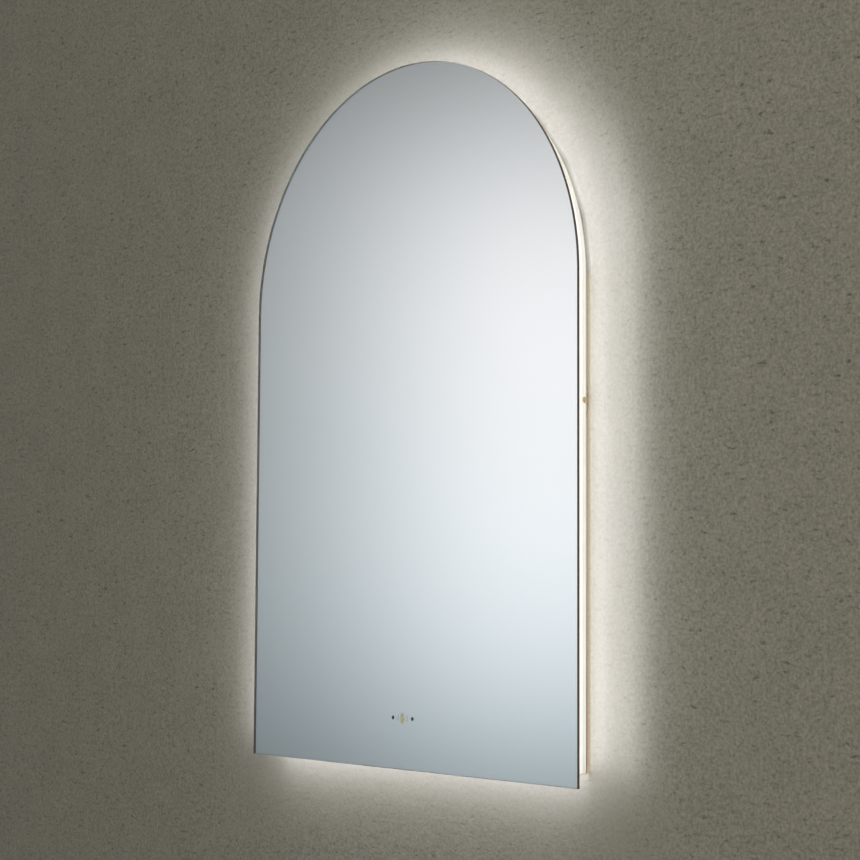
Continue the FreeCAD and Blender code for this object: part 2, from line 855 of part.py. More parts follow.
def make_cover_screws():
    screws = []
    for across, up in COVER_SCREWS:
        head = pin_out("CoverScrewHead", across, up, cover_back - s.cover_screw_head_height,
                       cover_back, s.cover_screw_head)
        shank = pin_out("CoverScrewShank", across, up, cover_back,
                        cover_back + s.cover_screw_length, s.cover_screw_radius)
        slot_half = s.cover_screw_radius / 4
        reach = s.cover_screw_head * 0.6
        deep = cover_back - s.cover_screw_head_height
        slots = [
            block("CoverScrewSlot", across - reach, across + reach, deep - OVERRUN,
                  deep + s.cover_screw_head_height / 2, up - slot_half, up + slot_half),
            block("CoverScrewSlot", across - slot_half, across + slot_half, deep - OVERRUN,
                  deep + s.cover_screw_head_height / 2, up - reach, up + reach)]
        screws.append(cut("CoverScrew", fuse("CoverScrewBlank", [head, shank]), slots))
    node("cover_screws", group("CoverScrews", screws))


def make_bumpers():
    pads = [pin_out("Bumper", s.bumper_side * side, s.bumper_height, ZERO, cover_back,
                    s.bumper_radius) for side in (-1, 1)]
    node("wall_bumpers", group("Bumpers", pads))


# ---------------------------------------------------------------- hanging

def make_bracket():
    """One folded sheet: two rails on a spine, two hooks and two slotted tabs."""
    thick = s.bracket_thickness
    body = new_body("Bracket")
    half = tab_outside
    upper = s.upper_rail_half_width
    spine = s.spine_half_width
    rail = s.rail_half_height
    low = s.hook_height - s.upper_rail_height
    corners = [
        (half, -rail), (half, rail), (spine, rail), (spine, low), (upper, low),
        (upper, s.hook_height), (-upper, s.hook_height), (-upper, low), (-spine, low),
        (-spine, rail), (-half, rail), (-half, -rail),
    ]
    upper_line = s.hook_height - s.upper_rail_height / 2
    holes = [(s.wall_hole_side * side, ZERO, s.wall_hole_radius) for side in (-1, 1)]
    holes += [(s.upper_hole_side * side, upper_line, s.wall_hole_radius) for side in (-1, 1)]
    plate = pad_flat(body, ZERO, thick, [(corners, set())], holes)
    round_corners(body, plate, s.bracket_corner)

    hook = [
        (ZERO, s.hook_height - thick), (hook_front, s.hook_height - thick),
        (hook_front, hanger_seat), (hook_back, hanger_seat),
        (hook_back, s.hook_height), (ZERO, s.hook_height),
    ]
    slot_half = s.lock_radius + s.lock_slot_clearance
    tab_front = s.lock_depth + slot_half + s.tab_arm
    tab = [
        (ZERO, -s.tab_half_height), (tab_front, -s.tab_half_height),
        (tab_front, s.tab_half_height), (s.lock_depth + slot_half, s.tab_half_height),
        (s.lock_depth + slot_half, -slot_half), (s.lock_depth - slot_half, -slot_half),
        (s.lock_depth - slot_half, s.tab_half_height), (ZERO, s.tab_half_height),
    ]
    for side in (-1, 1):
        pad_side(body, s.hook_offset * side - s.hook_half_width, s.hook_half_width * 2,
                 (hook, set()))
        pad_side(body, tab_inside if side > 0 else -tab_outside, thick, (tab, set()))
    node("wall_bracket", body)


def make_hangers():
    thick = s.hanger_thickness
    top = hanger_seat + s.hanger_flange
    flange_back_face = cover_back - thick
    profile = [
        (cover_back, hanger_seat), (cover_back, top), (flange_back_face, top),
        (flange_back_face, hanger_seat + thick), (hanger_back, hanger_seat + thick),
        (hanger_back, hanger_seat - s.hanger_lip), (hanger_lip_front, hanger_seat - s.hanger_lip),
        (hanger_lip_front, hanger_seat),
    ]
    body = new_body("Hanger")
    plate = pad_side(body, s.hook_offset - s.hanger_half_width, s.hanger_half_width * 2,
                     (profile, set()))
    round_corners(body, plate, s.hanger_corner)
    drills = [pin_out("RivetDrill", across, up, flange_back_face - OVERRUN,
                      cover_back + OVERRUN, rivet_hole)
              for across, up in RIVETS[2:]]
    right = node("hanger_plate_right", cut("HangerDrilled", body, drills))
    node("hanger_plate_left", mirrored("HangerLeft", right))

    rivets = []
    for across, up in RIVETS:
        rear = flange_back_face - s.rivet_head_height
        front = cover_front + s.rivet_head_height
        rivets.append(fuse("Rivet", [
            pin_out("RivetHead", across, up, rear, flange_back_face, s.rivet_head),
            pin_out("RivetShank", across, up, rear, front, s.rivet_radius),
            pin_out("RivetTail", across, up, cover_front, front, s.rivet_head)]))
    node("hanger_rivets", group("Rivets", rivets))


def make_lock_screws():
    outside = s.half_width - s.frame_inset
    head = pin_across("LockHead", outside, outside + s.lock_head_height, s.lock_depth, 0,
                      s.lock_head_radius)
    shank = pin_across("LockShank", lock_tip, outside, s.lock_depth, 0, s.lock_radius)
    socket = doc.addObject("Part::Prism", "LockSocket")
    socket.Polygon = 6
    bind(socket, "Circumradius", s.lock_socket_radius)
    bind(socket, "Height", s.lock_socket_depth + OVERRUN)
    place_round(socket, RIGHT_AXIS, outside + s.lock_head_height - s.lock_socket_depth,
                s.lock_depth, ZERO)
    blank = fuse("LockBlank", [head, shank])
    doc.recompute()
    rim = [number for number, edge in enumerate(blank.Shape.Edges, start=1)
           if edge.BoundBox.XMin > (outside + s.lock_head_height).value - 0.01]
    button = doc.addObject("Part::Fillet", "LockButton")
    button.Base = blank
    dome = min(s.lock_head_height.value, s.lock_head_radius.value) * 0.6
    button.Edges = [(number, dome, dome) for number in rim]
    right = cut("LockScrew", button, [socket])
    node("lock_screws", group("LockScrews", [right, mirrored("LockScrewLeft", right)]))
    nut = hex_nut("LockNut", RIGHT_AXIS, nut_inside, s.lock_depth, ZERO,
                  s.lock_nut_flats, s.lock_nut_height, s.lock_radius)
    node("lock_nuts", group("LockNuts", [nut, mirrored("LockNutLeft", nut)]))


# ---------------------------------------------------------------- cable entry and terminals

def make_grommet():
    rear = cover_back - s.grommet_lip
    front = cover_front + s.grommet_lip
    ring = fuse("GrommetRing", [
        pin_out("GrommetRear", 0, s.entry_height, rear, cover_back, s.grommet_flange),
        pin_out("GrommetNeck", 0, s.entry_height, rear, front,
                s.grommet_neck - s.hole_clearance),
        pin_out("GrommetFront", 0, s.entry_height, cover_front, front, s.grommet_flange)])
    bore = pin_out("GrommetBore", 0, s.entry_height, rear - OVERRUN, front + OVERRUN,
                   s.entry_bore)
    node("cable_grommet", cut("Grommet", ring, [bore]))


def make_clamp():
    """A bridge over the cable's sheath, held by two screws. Gives back its holes in the cover."""
    front = cover_front + s.clamp_opening_height + s.clamp_top
    reach = s.clamp_reach
    opening = s.clamp_opening
    profile = [(cover_front, s.entry_height - reach), (front, s.entry_height - reach),
               (front, s.entry_height + reach), (cover_front, s.entry_height + reach),
               (cover_front, s.entry_height + opening),
               (cover_front + s.clamp_opening_height, s.entry_height + opening),
               (cover_front + s.clamp_opening_height, s.entry_height - opening),
               (cover_front, s.entry_height - opening)]
    left = s.clamp_side - s.clamp_width / 2
    body = new_body("Clamp")
    pad_side(body, left, s.clamp_width, (profile, set()))
    spots = [(s.clamp_side, s.entry_height + s.clamp_screw_side * side) for side in (-1, 1)]
    drills = [pin_out("ClampDrill", across, up, cover_front - OVERRUN, front + OVERRUN,
                      small_screw_hole)
              for across, up in spots]
    node("cable_clamp", cut("ClampDrilled", body, drills))
    screws = [small_screw(across, up, front) for across, up in spots]
    node("clamp_screws", group("ClampScrews", screws))
    return [(across, up, small_screw_hole) for across, up in spots]


def small_screw(across, up, seat):
    """A pan screw from `seat` through the cover."""
    return fuse("SmallScrew", [
        pin_out("SmallScrewHead", across, up, seat, seat + s.small_screw_head_height,
                s.small_screw_head),
        pin_out("SmallScrewShank", across, up, cover_back, seat, s.small_screw_radius)])


def make_terminals():
    """Three terminals in one block. Gives back the block's left side and wire depth."""
    left = s.terminal_right - s.terminal_width
    front = cover_front + s.terminal_height
    wire = cover_front + s.terminal_wire_height
    length = s.terminal_half_length
    body = block("TerminalBody", left, s.terminal_right, cover_front, front,
                 s.entry_height - length, s.entry_height + length)
    tools = []
    screws = []
    for number in (-1, 0, 1):
        up = s.entry_height + s.terminal_pitch * number
        tools.append(pin_across("WireHole", left - OVERRUN, s.terminal_right + OVERRUN, wire, up,
                                s.terminal_hole))
        for across in (left + s.terminal_screw_side, s.terminal_right - s.terminal_screw_side):
            tools.append(pin_out("ScrewWell", across, up, wire, front + OVERRUN,
                                 s.terminal_screw_radius + s.hole_clearance))
            floor = wire + s.terminal_hole
            screws.append(pin_out("TerminalScrew", across, up, floor,
                                  front - s.terminal_screw_depth, s.terminal_screw_radius))
    node("terminal_block", cut("TerminalBlock", body, tools))
    node("terminal_screws", group("TerminalScrews", screws))
    return left, wire


def make_earth():
    """A welded stud with its nut, for the earth wire."""
    stud = pin_out("EarthStud", s.earth_side, s.earth_height, cover_front,
                   cover_front + s.earth_length, s.earth_radius)
    node("earth_stud", stud)
    nut = hex_nut("EarthNut", FRONT_AXIS, s.earth_side, cover_front, s.earth_height,
                  s.earth_nut_flats, s.earth_nut_height, s.earth_radius)
    node("earth_nut", nut)


# ---------------------------------------------------------------- driver

def make_driver():
    """The driver's tray, lid, board and parts. Gives back its screws' holes in the cover."""
    left = s.driver_left
    low = s.driver_bottom
    wall = s.driver_wall
    floor = cover_front + wall
    split = cover_front + s.driver_base_height
    lid_front = cover_front + s.driver_height
    board_back = floor + s.driver_post
    board_front = board_back + s.board_thickness
    outer = rectangle(left, driver_right, low, driver_top)
    inner = rectangle(left + wall, driver_right - wall, low + wall, driver_top - wall)

    base = new_body("DriverBase")
    ear_low = rectangle(left - s.driver_ear, left, low, low + s.driver_ear_width)
    ear_high = rectangle(driver_right, driver_right + s.driver_ear,
                         driver_top - s.driver_ear_width, driver_top)
    screws = [(left - s.driver_ear / 2, low + s.driver_ear_width / 2),
              (driver_right + s.driver_ear / 2, driver_top - s.driver_ear_width / 2)]
    pad_flat(base, cover_front, floor, [outer])
    pad_flat(base, floor, split, [outer, inner])
    for ear, (across, up) in zip((ear_low, ear_high), screws):
        pad_flat(base, cover_front, floor, [ear], [(across, up, small_screw_hole)])
    inset = wall + s.driver_post_inset
    posts = [(across, up, s.driver_post_radius)
             for across in (left + inset, driver_right - inset)
             for up in (low + inset, driver_top - inset)]
    pad_flat(base, floor, board_back, [], posts)
    node("driver_base", base)

    lid = new_body("DriverLid")
    pad_flat(lid, lid_front - wall, lid_front, [outer])
    pad_flat(lid, split, lid_front - wall, [outer, inner])
    node("driver_lid", lid)

    edge = wall + s.board_clearance
    board = new_body("DriverBoard")
    pad_flat(board, board_back, board_front,
             [rectangle(left + edge, driver_right - edge, low + edge, driver_top - edge)])
    node("driver_board", board)
    node("driver_components", group("DriverComponents", driver_components(board_front)))
    node("driver_screws", group("DriverScrews",
                                [small_screw(across, up, floor) for across, up in screws]))
    return [(across, up, small_screw_hole) for across, up in screws]


def driver_components(seat):
    """The transformer, choke, two capacitors and a heat sink on the driver's board."""
    left = s.driver_left
    middle = s.driver_bottom + s.driver_width / 2
    headroom = s.driver_height - s.driver_wall * 2 - s.driver_post - s.board_thickness
    length = s.driver_length
    tall = headroom * 0.9
    transformer = block("Transformer", left + length * 0.42, left + length * 0.62,
                        seat, seat + tall, middle - s.driver_width * 0.3,
                        middle + s.driver_width * 0.3)
    choke = block("Choke", left + length * 0.12, left + length * 0.22, seat,
                  seat + headroom * 0.7, middle - s.driver_width * 0.16,
                  middle + s.driver_width * 0.16)
    sink = block("HeatSink", left + length * 0.70, left + length * 0.72, seat, seat + tall,
                 middle - s.driver_width * 0.3, middle + s.driver_width * 0.3)
    rods = [pin_out("Capacitor", left + length * share, middle + s.driver_width * offset,
                    seat, seat + tall, s.driver_width * 0.12)
            for share, offset in ((0.32, 0.1), (0.84, -0.12))]
    return [transformer, choke, sink] + rods


# ---------------------------------------------------------------- leads

def lead(label, points, radius):
    """A round lead along straight runs joined by tangent arcs as large as the runs allow."""
    spots = [Vector(across.value, -depth.value, up.value) for across, depth, up in points]
    edges = []
    here = spots[0]
    smallest = None
    for before, corner, after in zip(spots, spots[1:], spots[2:]):
        arriving = corner.sub(before)
        leaving = after.sub(corner)
        turn = arriving.getAngle(leaving)
        trim = 0.45 * min(arriving.Length, leaving.Length)
        bend = trim / math.tan(turn / 2)
        smallest = bend if smallest is None else min(smallest, bend)
        arriving.normalize()
        leaving.normalize()
        start = corner.sub(Vector(arriving).multiply(trim))
        stop = corner.add(Vector(leaving).multiply(trim))
        inward = leaving.sub(arriving).normalize()
        middle = corner.add(inward.multiply(bend / math.cos(turn / 2) - bend))
        edges.append(Part.LineSegment(here, start).toShape())
        edges.append(Part.Arc(start, middle, stop).toShape())
        here = stop
    edges.append(Part.LineSegment(here, spots[-1]).toShape())
    path = Part.Wire(edges)
    first = spots[1].sub(spots[0])
    ring = Part.Wire([Part.Circle(spots[0], first, radius.value).toShape()])
    tube = path.makePipeShell([ring], True, False)
    expected = math.pi * radius.value ** 2 * path.Length
    print(f"{label}: {path.Length:.0f} mm long, tightest bend {smallest:.1f} mm, "
          f"volume off by {abs(tube.Volume / expected - 1) * 100:.2f}%")
    piece = doc.addObject("Part::Feature", label + "Tube")
    piece.Shape = tube
    node(label, piece)


def make_leads(terminal_left, terminal_wire, demister_boot, sensor_top, sensor_board_front):
    """The leads from the terminals to the driver and from it to what it feeds. Gives back the
    heights of the straight runs of the sensor and mains leads."""
    mains_up = driver_top - s.driver_ear_width / 2
    deep = mains_lead_depth
    turn_left = terminal_left - run * 3.6
    lead("mains_lead", [
        (terminal_left, terminal_wire, s.entry_height),
        (terminal_left - run * 1.8, terminal_wire, s.entry_height),
        (turn_left, deep, s.entry_height - run * 1.2),
        (turn_left - run * 0.4, deep, s.entry_height - run * 3.8),
        (turn_left + run * 1.6, deep, mains_up + run * 0.4),
        (turn_left + run * 5, deep, mains_up),
        (s.driver_left, deep, mains_up)], s.mains_lead_radius)

    deep = lead_depth
    outlet = s.driver_bottom + s.driver_ear_width / 5
    sensor_run = outlet - run * 3.6
    sensor_entry = sensor_board_front + s.lead_radius
    beside_frame = s.half_width - flange_inner_inset - run * 2.4
    bay_run = (beside_frame - driver_right) / SIDE_BAY_RUNS
    lead("sensor_lead", [
        (driver_right, deep, outlet),
        (driver_right + bay_run * 1.8, deep, outlet),
        (driver_right + bay_run * 2.8, deep, outlet - run * 1.6),
        (driver_right + bay_run * 1.4, deep, outlet - run * 3.4),
        (driver_right - run * 4, deep, sensor_run),
        (driver_right - run * 12, deep, sensor_run),
        (ZERO + run * 1.6, deep, outlet - run * 5.4),
        (ZERO, deep + run * 0.2, outlet - run * 8.4),
        (ZERO, sensor_entry, sensor_top + run * 2.4),
        (ZERO, sensor_entry, sensor_top)], s.lead_radius)

    step = s.lead_radius * 4
    lead("strip_lead", [
        (driver_right, deep, outlet + step),
        (beside_frame - bay_run * 1.6, deep, outlet + step),
        (beside_frame, deep, outlet - run * 2),
        (beside_frame - bay_run, deep, outlet - run * 6),
        (driver_right - run * 2, deep, outlet - run * 11),
        (s.strip_feed_offset + run * 2.4, deep, outlet - run * 14.6),
        (s.strip_feed_offset, strip_depth(), glass_bottom + web_inside_inset + run * 2.4),
        (s.strip_feed_offset, strip_depth(), glass_bottom + s.web_inset - s.strip_thickness)],
        s.lead_radius)

    boot_right, boot_depth, boot_height = demister_boot
    lead("demister_lead", [
        (driver_right, deep, outlet + step * 2),
        (driver_right + run * 2.2, deep, outlet + step * 2),
        (driver_right + run * 3.4, deep + run * 0.2, outlet + step * 2 + run * 2.6),
        (driver_right + run * 1.2, deep + run, outlet + step * 2 + run * 5.2),
        (boot_right + run * 3.6, boot_depth - run * 0.3, boot_height - run * 0.3),
        (boot_right + run * 1.4, boot_depth, boot_height),
        (boot_right, boot_depth, boot_height)], s.lead_radius)
    return sensor_run, mains_up


def clip(name, across, up, radius):
    """A saddle stuck to the cover over a lead that runs along X."""
    channel_radius = radius + s.lead_clearance
    wide = channel_radius + s.clip_wall
    depth = cover_front + channel_radius
    left = across - s.clip_length / 2
    right = across + s.clip_length / 2
    saddle = block(name + "Block", left, right, cover_front,
                   depth + channel_radius + s.clip_wall / 2, up - wide, up + wide)
    channel = pin_across(name + "Channel", left - OVERRUN, right + OVERRUN, depth, up,
                         channel_radius)
    mouth = block(name + "Mouth", left - OVERRUN, right + OVERRUN, cover_front - OVERRUN, depth,
                  up - channel_radius, up + channel_radius)
    return cut(name, saddle, [channel, mouth])


def make_clips(sensor_run, mains_run):
    """Saddles over the straight runs of the sensor and mains leads."""
    node("lead_clips", group("LeadClips", [
        clip("SensorClip", driver_right - run * 8, sensor_run, s.lead_radius),
        clip("MainsClip", s.driver_left - run * 2.2, mains_run, s.mains_lead_radius)]))


# ---------------------------------------------------------------- the whole mirror

make_bracket()
make_glass()
make_silver()
make_tape()
boot = make_demister()
housing_top, switch_board_front = make_switch()
make_frame()
make_corner_keys()
make_diffusers()
make_strip()
cover_holes = make_clamp() + make_driver()
make_cover(cover_holes)
make_cover_screws()
make_bumpers()
make_hangers()
make_lock_screws()
make_grommet()
terminals_left, terminals_wire = make_terminals()
make_earth()
lead_runs = make_leads(terminals_left, terminals_wire, boot, housing_top, switch_board_front)
make_clips(*lead_runs)
doc.recompute()

for thing in doc.Objects:
    state = set(thing.State)
    if state & {"Invalid", "Error"}:
        raise RuntimeError(f"{thing.Name} ({thing.Label}) failed: {thing.State}")
    if thing.isDerivedFrom("PartDesign::Pocket"):
        removed = thing.BaseFeature.Shape.Volume - thing.Shape.Volume
        if removed <= 0:
            raise RuntimeError(f"{thing.Name} cuts nothing")

os.makedirs("parts", exist_ok=True)
for piece in nodes:
    shape = piece.Shape
    if shape.isNull() or not shape.isValid() or not shape.Solids:
        raise RuntimeError(f"{piece.Label} has no valid solid")
    shape.exportStep(f"parts/{piece.Label}.step")
    print(f"{piece.Label}: {len(shape.Solids)} solid(s), {shape.Volume:.0f} mm3")
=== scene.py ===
"""Lighted arch mirror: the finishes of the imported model, and the wall, light and camera round it.

The frame is the model's own, in metres. X runs along the wall, to the right as the mirror is seen,
Y runs into the wall, whose face is y = 0, and Z runs up from the middle of the glass's height. A
depth is measured out from the wall, so y = -depth. Colours are linear.
"""
import math

import bmesh
import bpy
from mathutils import Matrix, Vector


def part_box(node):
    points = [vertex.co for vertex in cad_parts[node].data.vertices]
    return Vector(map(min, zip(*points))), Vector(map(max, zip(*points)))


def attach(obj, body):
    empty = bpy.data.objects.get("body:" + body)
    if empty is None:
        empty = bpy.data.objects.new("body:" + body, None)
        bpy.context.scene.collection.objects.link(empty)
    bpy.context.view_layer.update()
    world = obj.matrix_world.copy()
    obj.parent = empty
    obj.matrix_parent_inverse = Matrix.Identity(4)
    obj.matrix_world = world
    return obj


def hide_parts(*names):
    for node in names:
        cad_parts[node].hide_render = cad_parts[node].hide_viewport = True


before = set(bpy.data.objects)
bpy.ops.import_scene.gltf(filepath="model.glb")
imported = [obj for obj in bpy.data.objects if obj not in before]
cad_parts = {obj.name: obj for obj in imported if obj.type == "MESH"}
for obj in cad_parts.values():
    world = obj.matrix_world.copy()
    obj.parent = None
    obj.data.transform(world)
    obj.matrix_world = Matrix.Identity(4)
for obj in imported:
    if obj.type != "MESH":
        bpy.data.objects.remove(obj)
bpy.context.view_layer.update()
scene = bpy.context.scene

MM = 0.001

# The camera of the photograph, as fitted to the glass's outline. Its turns are in degrees, and its
# lens and sensor in millimetres.
CAMERA_PLACE = (1.84185, -1.71224, -0.21234)
CAMERA_YAW = 46.9127
CAMERA_PITCH = 4.3682
CAMERA_ROLL = 0.3155
CAMERA_LENS = 82.1826
SENSOR_WIDTH = 36

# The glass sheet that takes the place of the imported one.
GLASS_HEIGHT = 900 * MM
GLASS_ARRIS = 0.3 * MM
GLASS_STEPS = 160
GLASS_CREASE = math.radians(20)
SILVER_GAP = 0.02 * MM
GLASS_INDEX = 1.52
GLASS_BODY = (0.35, 0.80, 0.60)
GLASS_DENSITY = 3.0

# Where most of a noise's values lie, and how finely a softened edge is looked up.
NOISE_SPAN = (0.3, 0.7)
BEVEL_SAMPLES = 4

# The frame's rear rim, which is browner low down, is a painted shade: the gap's shadow on the frame's
# rear edge. Given are the heights between which the brown grows, and how far in from the frame's
# rear the rim's colour begins and is full.
SHADE_RIM_HEIGHTS = (-150 * MM, -380 * MM)
SHADE_RIM_REACH = (1.9 * MM, 1.1 * MM)

# How bright the lit band looks, as (share of the way from its rear edge to the glass, level).
DIFFUSER_LEVELS = ((0.0, 0.24), (0.30, 0.28), (0.6, 0.36), (1.0, 0.45))
DIFFUSER_TINT = (1.0, 0.985, 1.03)

# The switch's print: farther than this from the middle, it is the strokes.
STROKE_SIDE = 6 * MM
PRINT_TONES = (0.88, 1.06)

# The demister's foil track and the circuit board's pads.
TRACK_PITCH = 9 * MM
TRACK_GAP = 0.15
PADS_PER_METRE = 220

# The room's two lamps: one in front, on the photograph's side, and one behind for rear views.
KEY_PLACE = (3.0, -2.4, 1.1)
KEY_SIZE = 1.6
KEY_POWER = 84
REAR_PLACE = (0.5, 2.6, 1.0)
REAR_SIZE = 1.8
REAR_POWER = 46

# The wall's plaster. Its tone is varied by three noises and darkened by scores, each by the share
# given, and it is smoothest as far out from the frame as the first of WALL_SMOOTH_REACH.
WALL_COLOUR = (0.162, 0.152, 0.114)
WALL_GRAIN = 1.7
WALL_GRAIN_SIZE = 4 * MM
WALL_CLUMPS = 0.5
WALL_CLUMP_SIZE = 9 * MM
WALL_CLOUD = 0.22
WALL_CLOUD_SIZE = 60 * MM
WALL_SCORES = 0.48
WALL_SCORE_SIZE = 14 * MM
WALL_SCORE_STRETCH = (1, 1, 2.6)
WALL_SCORE_SPAN = (0.58, 0.70)
WALL_RELIEF = 1.4 * MM
WALL_RELIEF_SIZE = 16 * MM
WALL_GRAIN_RELIEF = 0.12
WALL_SCORE_RELIEF = 0.3
WALL_SMOOTH_REACH = (45 * MM, 150 * MM)
WALL_SMOOTHEST = 0.3

# The wall's sheet and the opening in it that the mirror hides. A notch has three points above the
# middle of the bracket's lower rail and three below, each (how far inside the rail's end, how far
# above or below).
WALL_REACH = 5.0
WALL_STANDOFF = 0.3 * MM
WALL_HOLE_INSET = 10 * MM
WALL_HOLE_LIFT = 6 * MM
WALL_HOLE_STEPS = 64
WALL_NOTCH = ((8.2 * MM, 13.8 * MM), (4.2 * MM, 13.8 * MM), (0.8 * MM, 10.5 * MM))

FLOOR_COLOUR = (0.90, 0.89, 0.87)
FLOOR_GLOW = 0.22
FLOOR_HEIGHT = -1.4

# The world as it lights things, and as the camera sees it.
WORLD_LEVEL = 0.5
WORLD_BACKGROUND = (0.76, 0.75, 0.73)

# What the mirror reflects: tall soft panels of light, one every PANEL_STEP degrees round the room.
# Angles are in degrees, and the room's levels are shares of a panel's light.
PANEL_STEP = 36
PANEL_AZIMUTH = -43.26
PANEL_SHARPNESS = 1.332
PANEL_ELEVATION = 4.31
PANEL_HALF_HEIGHT = 9.61
PANEL_FALL = 2.98
ROOM_LIGHT = 0.09
ROOM_LIFT = 0.4
ROOM_FLOOR_START = 0.15
ROOM_FLOOR_RISE = 3.0
ROOM_FLOOR = 0.42

# The reflection's tint: where there is no light, what full light adds to it, and what each
# TINT_STEP degrees of height add.
TINT_DIM = (1.138, 1.261, 1.347)
TINT_GAIN = (-0.239, -0.337, -0.364)
TINT_RISE = (0.054, 0.0, -0.023)
TINT_STEP = 10

# The light that the lit band throws, from lamps just outside it. GLOW_RINGS holds two rings that
# face outwards, as (nearest depth, farthest depth, power). The gap lamps face the wall behind the
# frame's edge, and the spill lamps face it farther out and widen the glow along the sides. Powers
# are for each metre of a lamp's length.
GLOW_TINT = (0.975, 1.0, 1.21)
GLOW_RINGS = ((4 * MM, 9 * MM, 0.13), (19.5 * MM, 31 * MM, 1.66))
GLOW_STANDOFF = 0.5 * MM
GAP_TINT = (1.0, 0.90, 0.84)
GAP_REACH = 0.5 * MM
GAP_DEPTH = 3.0 * MM
GAP_WIDTH = 8 * MM
GAP_POWER = 0.07
SPILL_REACH = 60 * MM
SPILL_DEPTH = 40 * MM
SPILL_WIDTH = 20 * MM
SPILL_SPREAD = math.radians(140)
SPILL_POWER = 0.315
SPILL_LEFT = 0.65
SPILL_FALL = 4.0
SPILL_LEAST = 0.01

# What share of their power the first ring, the second ring and the gap lamp have on each part of
# the band. Round the arch the shares grow from 1 at its foot, to those given once the sine of the
# angle is past GLOW_ARCH_START.
GLOW_SIDE = (1.0, 1.0, 1.0)
GLOW_BOTTOM = (2.2, 0.9, 1.0)
GLOW_ARCH = (1.2, 1.02, 1.7)
GLOW_ARCH_START = 0.25
GLOW_ARCS = 12


# ---------------------------------------------------------------- node helpers

class Nodes:
    """A node tree that is made by short calls."""

    def __init__(self, tree):
        self.tree = tree
        self.tree.nodes.clear()

    def add(self, kind, **settings):
        """A new node. Settings name its properties, or its inputs where it has no such property."""
        made = self.tree.nodes.new("ShaderNode" + kind)
        for name, value in settings.items():
            if hasattr(made, name):
                setattr(made, name, value)
            else:
                self.feed(made.inputs[name.replace("_", " ")], value)
        return made

    def feed(self, socket, value):
        """Link an output to a socket, or set the socket to a value."""
        if isinstance(value, bpy.types.NodeSocket):
            self.tree.links.new(value, socket)
        elif socket.type == "RGBA" and len(value) == 3:
            socket.default_value = (*value, 1)
        else:
            socket.default_value = value

    def apply(self, operation, *values, kind="Math"):
        """A math node on numbers, or with kind VectorMath on vectors."""
        made = self.add(kind, operation=operation)
        for socket, value in zip(made.inputs, values):
            self.feed(socket, value)
        return made.outputs[0]

    def plus(self, total, *others):
        """The sum of all the values."""
        for other in others:
            total = self.apply("ADD", total, other)
        return total

    def minus(self, value, other):
        """The first value less the second."""
        return self.apply("SUBTRACT", value, other)

    def times(self, value, other):
        """The product of two values."""
        return self.apply("MULTIPLY", value, other)

    def distance(self, value, other):
        """How far the place (value, other) is from (0, 0)."""
        return self.apply("SQRT", self.plus(self.times(value, value), self.times(other, other)))

    def scaled(self, vector, factor):
        """A vector or colour times a number."""
        return self.add("VectorMath", operation="SCALE", Vector=vector, Scale=factor).outputs[0]

    def split(self, vector):
        """The X, Y and Z of a vector."""
        return self.add("SeparateXYZ", Vector=vector).outputs

    def mix(self, share, first, second):
        """Two colours mixed, all first at a share of 0 and all second at 1."""
        made = self.add("Mix", data_type="RGBA")
        self.feed(made.inputs["Factor"], share)
        self.feed(made.inputs[6], first)
        self.feed(made.inputs[7], second)
        return made.outputs[2]


class Shader(Nodes):
    """A material whose nodes are made by short calls. Coordinates are the model's, in metres."""

    def __init__(self, name):
        self.material = bpy.data.materials.new(name)
        self.material.use_nodes = True
        super().__init__(self.material.node_tree)
        self.output = self.add("OutputMaterial")
        self.place = self.add("TexCoord").outputs["Object"]

    def stretch(self, scale, turn=(0, 0, 0)):
        """The coordinates turned and scaled, for grain that runs one way."""
        return self.add("Mapping", Vector=self.place, Scale=scale, Rotation=turn).outputs[0]

    def noise(self, size, detail=3, rough=0.5, place=None):
        """A noise from 0 to 1 whose features are about size metres."""
        return self.add("TexNoise", Vector=place or self.place, Scale=1 / size, Detail=detail,
                        Roughness=rough).outputs["Fac"]

    def cells(self, size, output="Distance"):
        """A cell pattern whose cells are about size metres."""
        return self.add("TexVoronoi", Vector=self.place, Scale=1 / size).outputs[output]

    def span(self, value, low, high, start=0.0, end=1.0):
        """A value stretched from start..end to low..high, and held there."""
        return self.add("MapRange", Value=value, From_Min=start, From_Max=end, To_Min=low,
                        To_Max=high).outputs[0]

    def follow(self, noise, low, high):
        """A value from low to high that follows a noise."""
        return self.span(noise, low, high, *NOISE_SPAN)

    def mottle(self, colour, size, spread, share=0.25):
        """The colour, lighter and darker by a spread, as a noise leaves 0.5 by up to a share."""
        dark = shade(colour, 1 - spread)
        light = tuple(min(1, part) for part in shade(colour, 1 + spread))
        blotches = self.noise(size, detail=5)
        return self.mix(self.span(blotches, 0, 1, 0.5 - share, 0.5 + share), dark, light)

    def bump(self, height, depth, soft_edge=None):
        """A bump from a height of 0 to 1 that stands for depth metres. A soft edge is the radius by
        which light rounds the solid's corners."""
        made = self.add("Bump", Height=height, Distance=depth, Strength=1.0)
        if soft_edge:
            bevel = self.add("Bevel", samples=BEVEL_SAMPLES, Radius=soft_edge)
            self.feed(made.inputs["Normal"], bevel.outputs[0])
        return made.outputs[0]

    def finish(self, **inputs):
        """The surface itself, from the inputs of a Principled BSDF."""
        surface = self.add("BsdfPrincipled", **inputs)
        self.feed(self.output.inputs["Surface"], surface.outputs[0])
        return surface


def shade(colour, *shares):
    """The colour times one share, or with each of its parts times a share of its own."""
    if len(shares) == 1:
        shares *= len(colour)
    return tuple(part * share for part, share in zip(colour, shares))


# ---------------------------------------------------------------- finishes

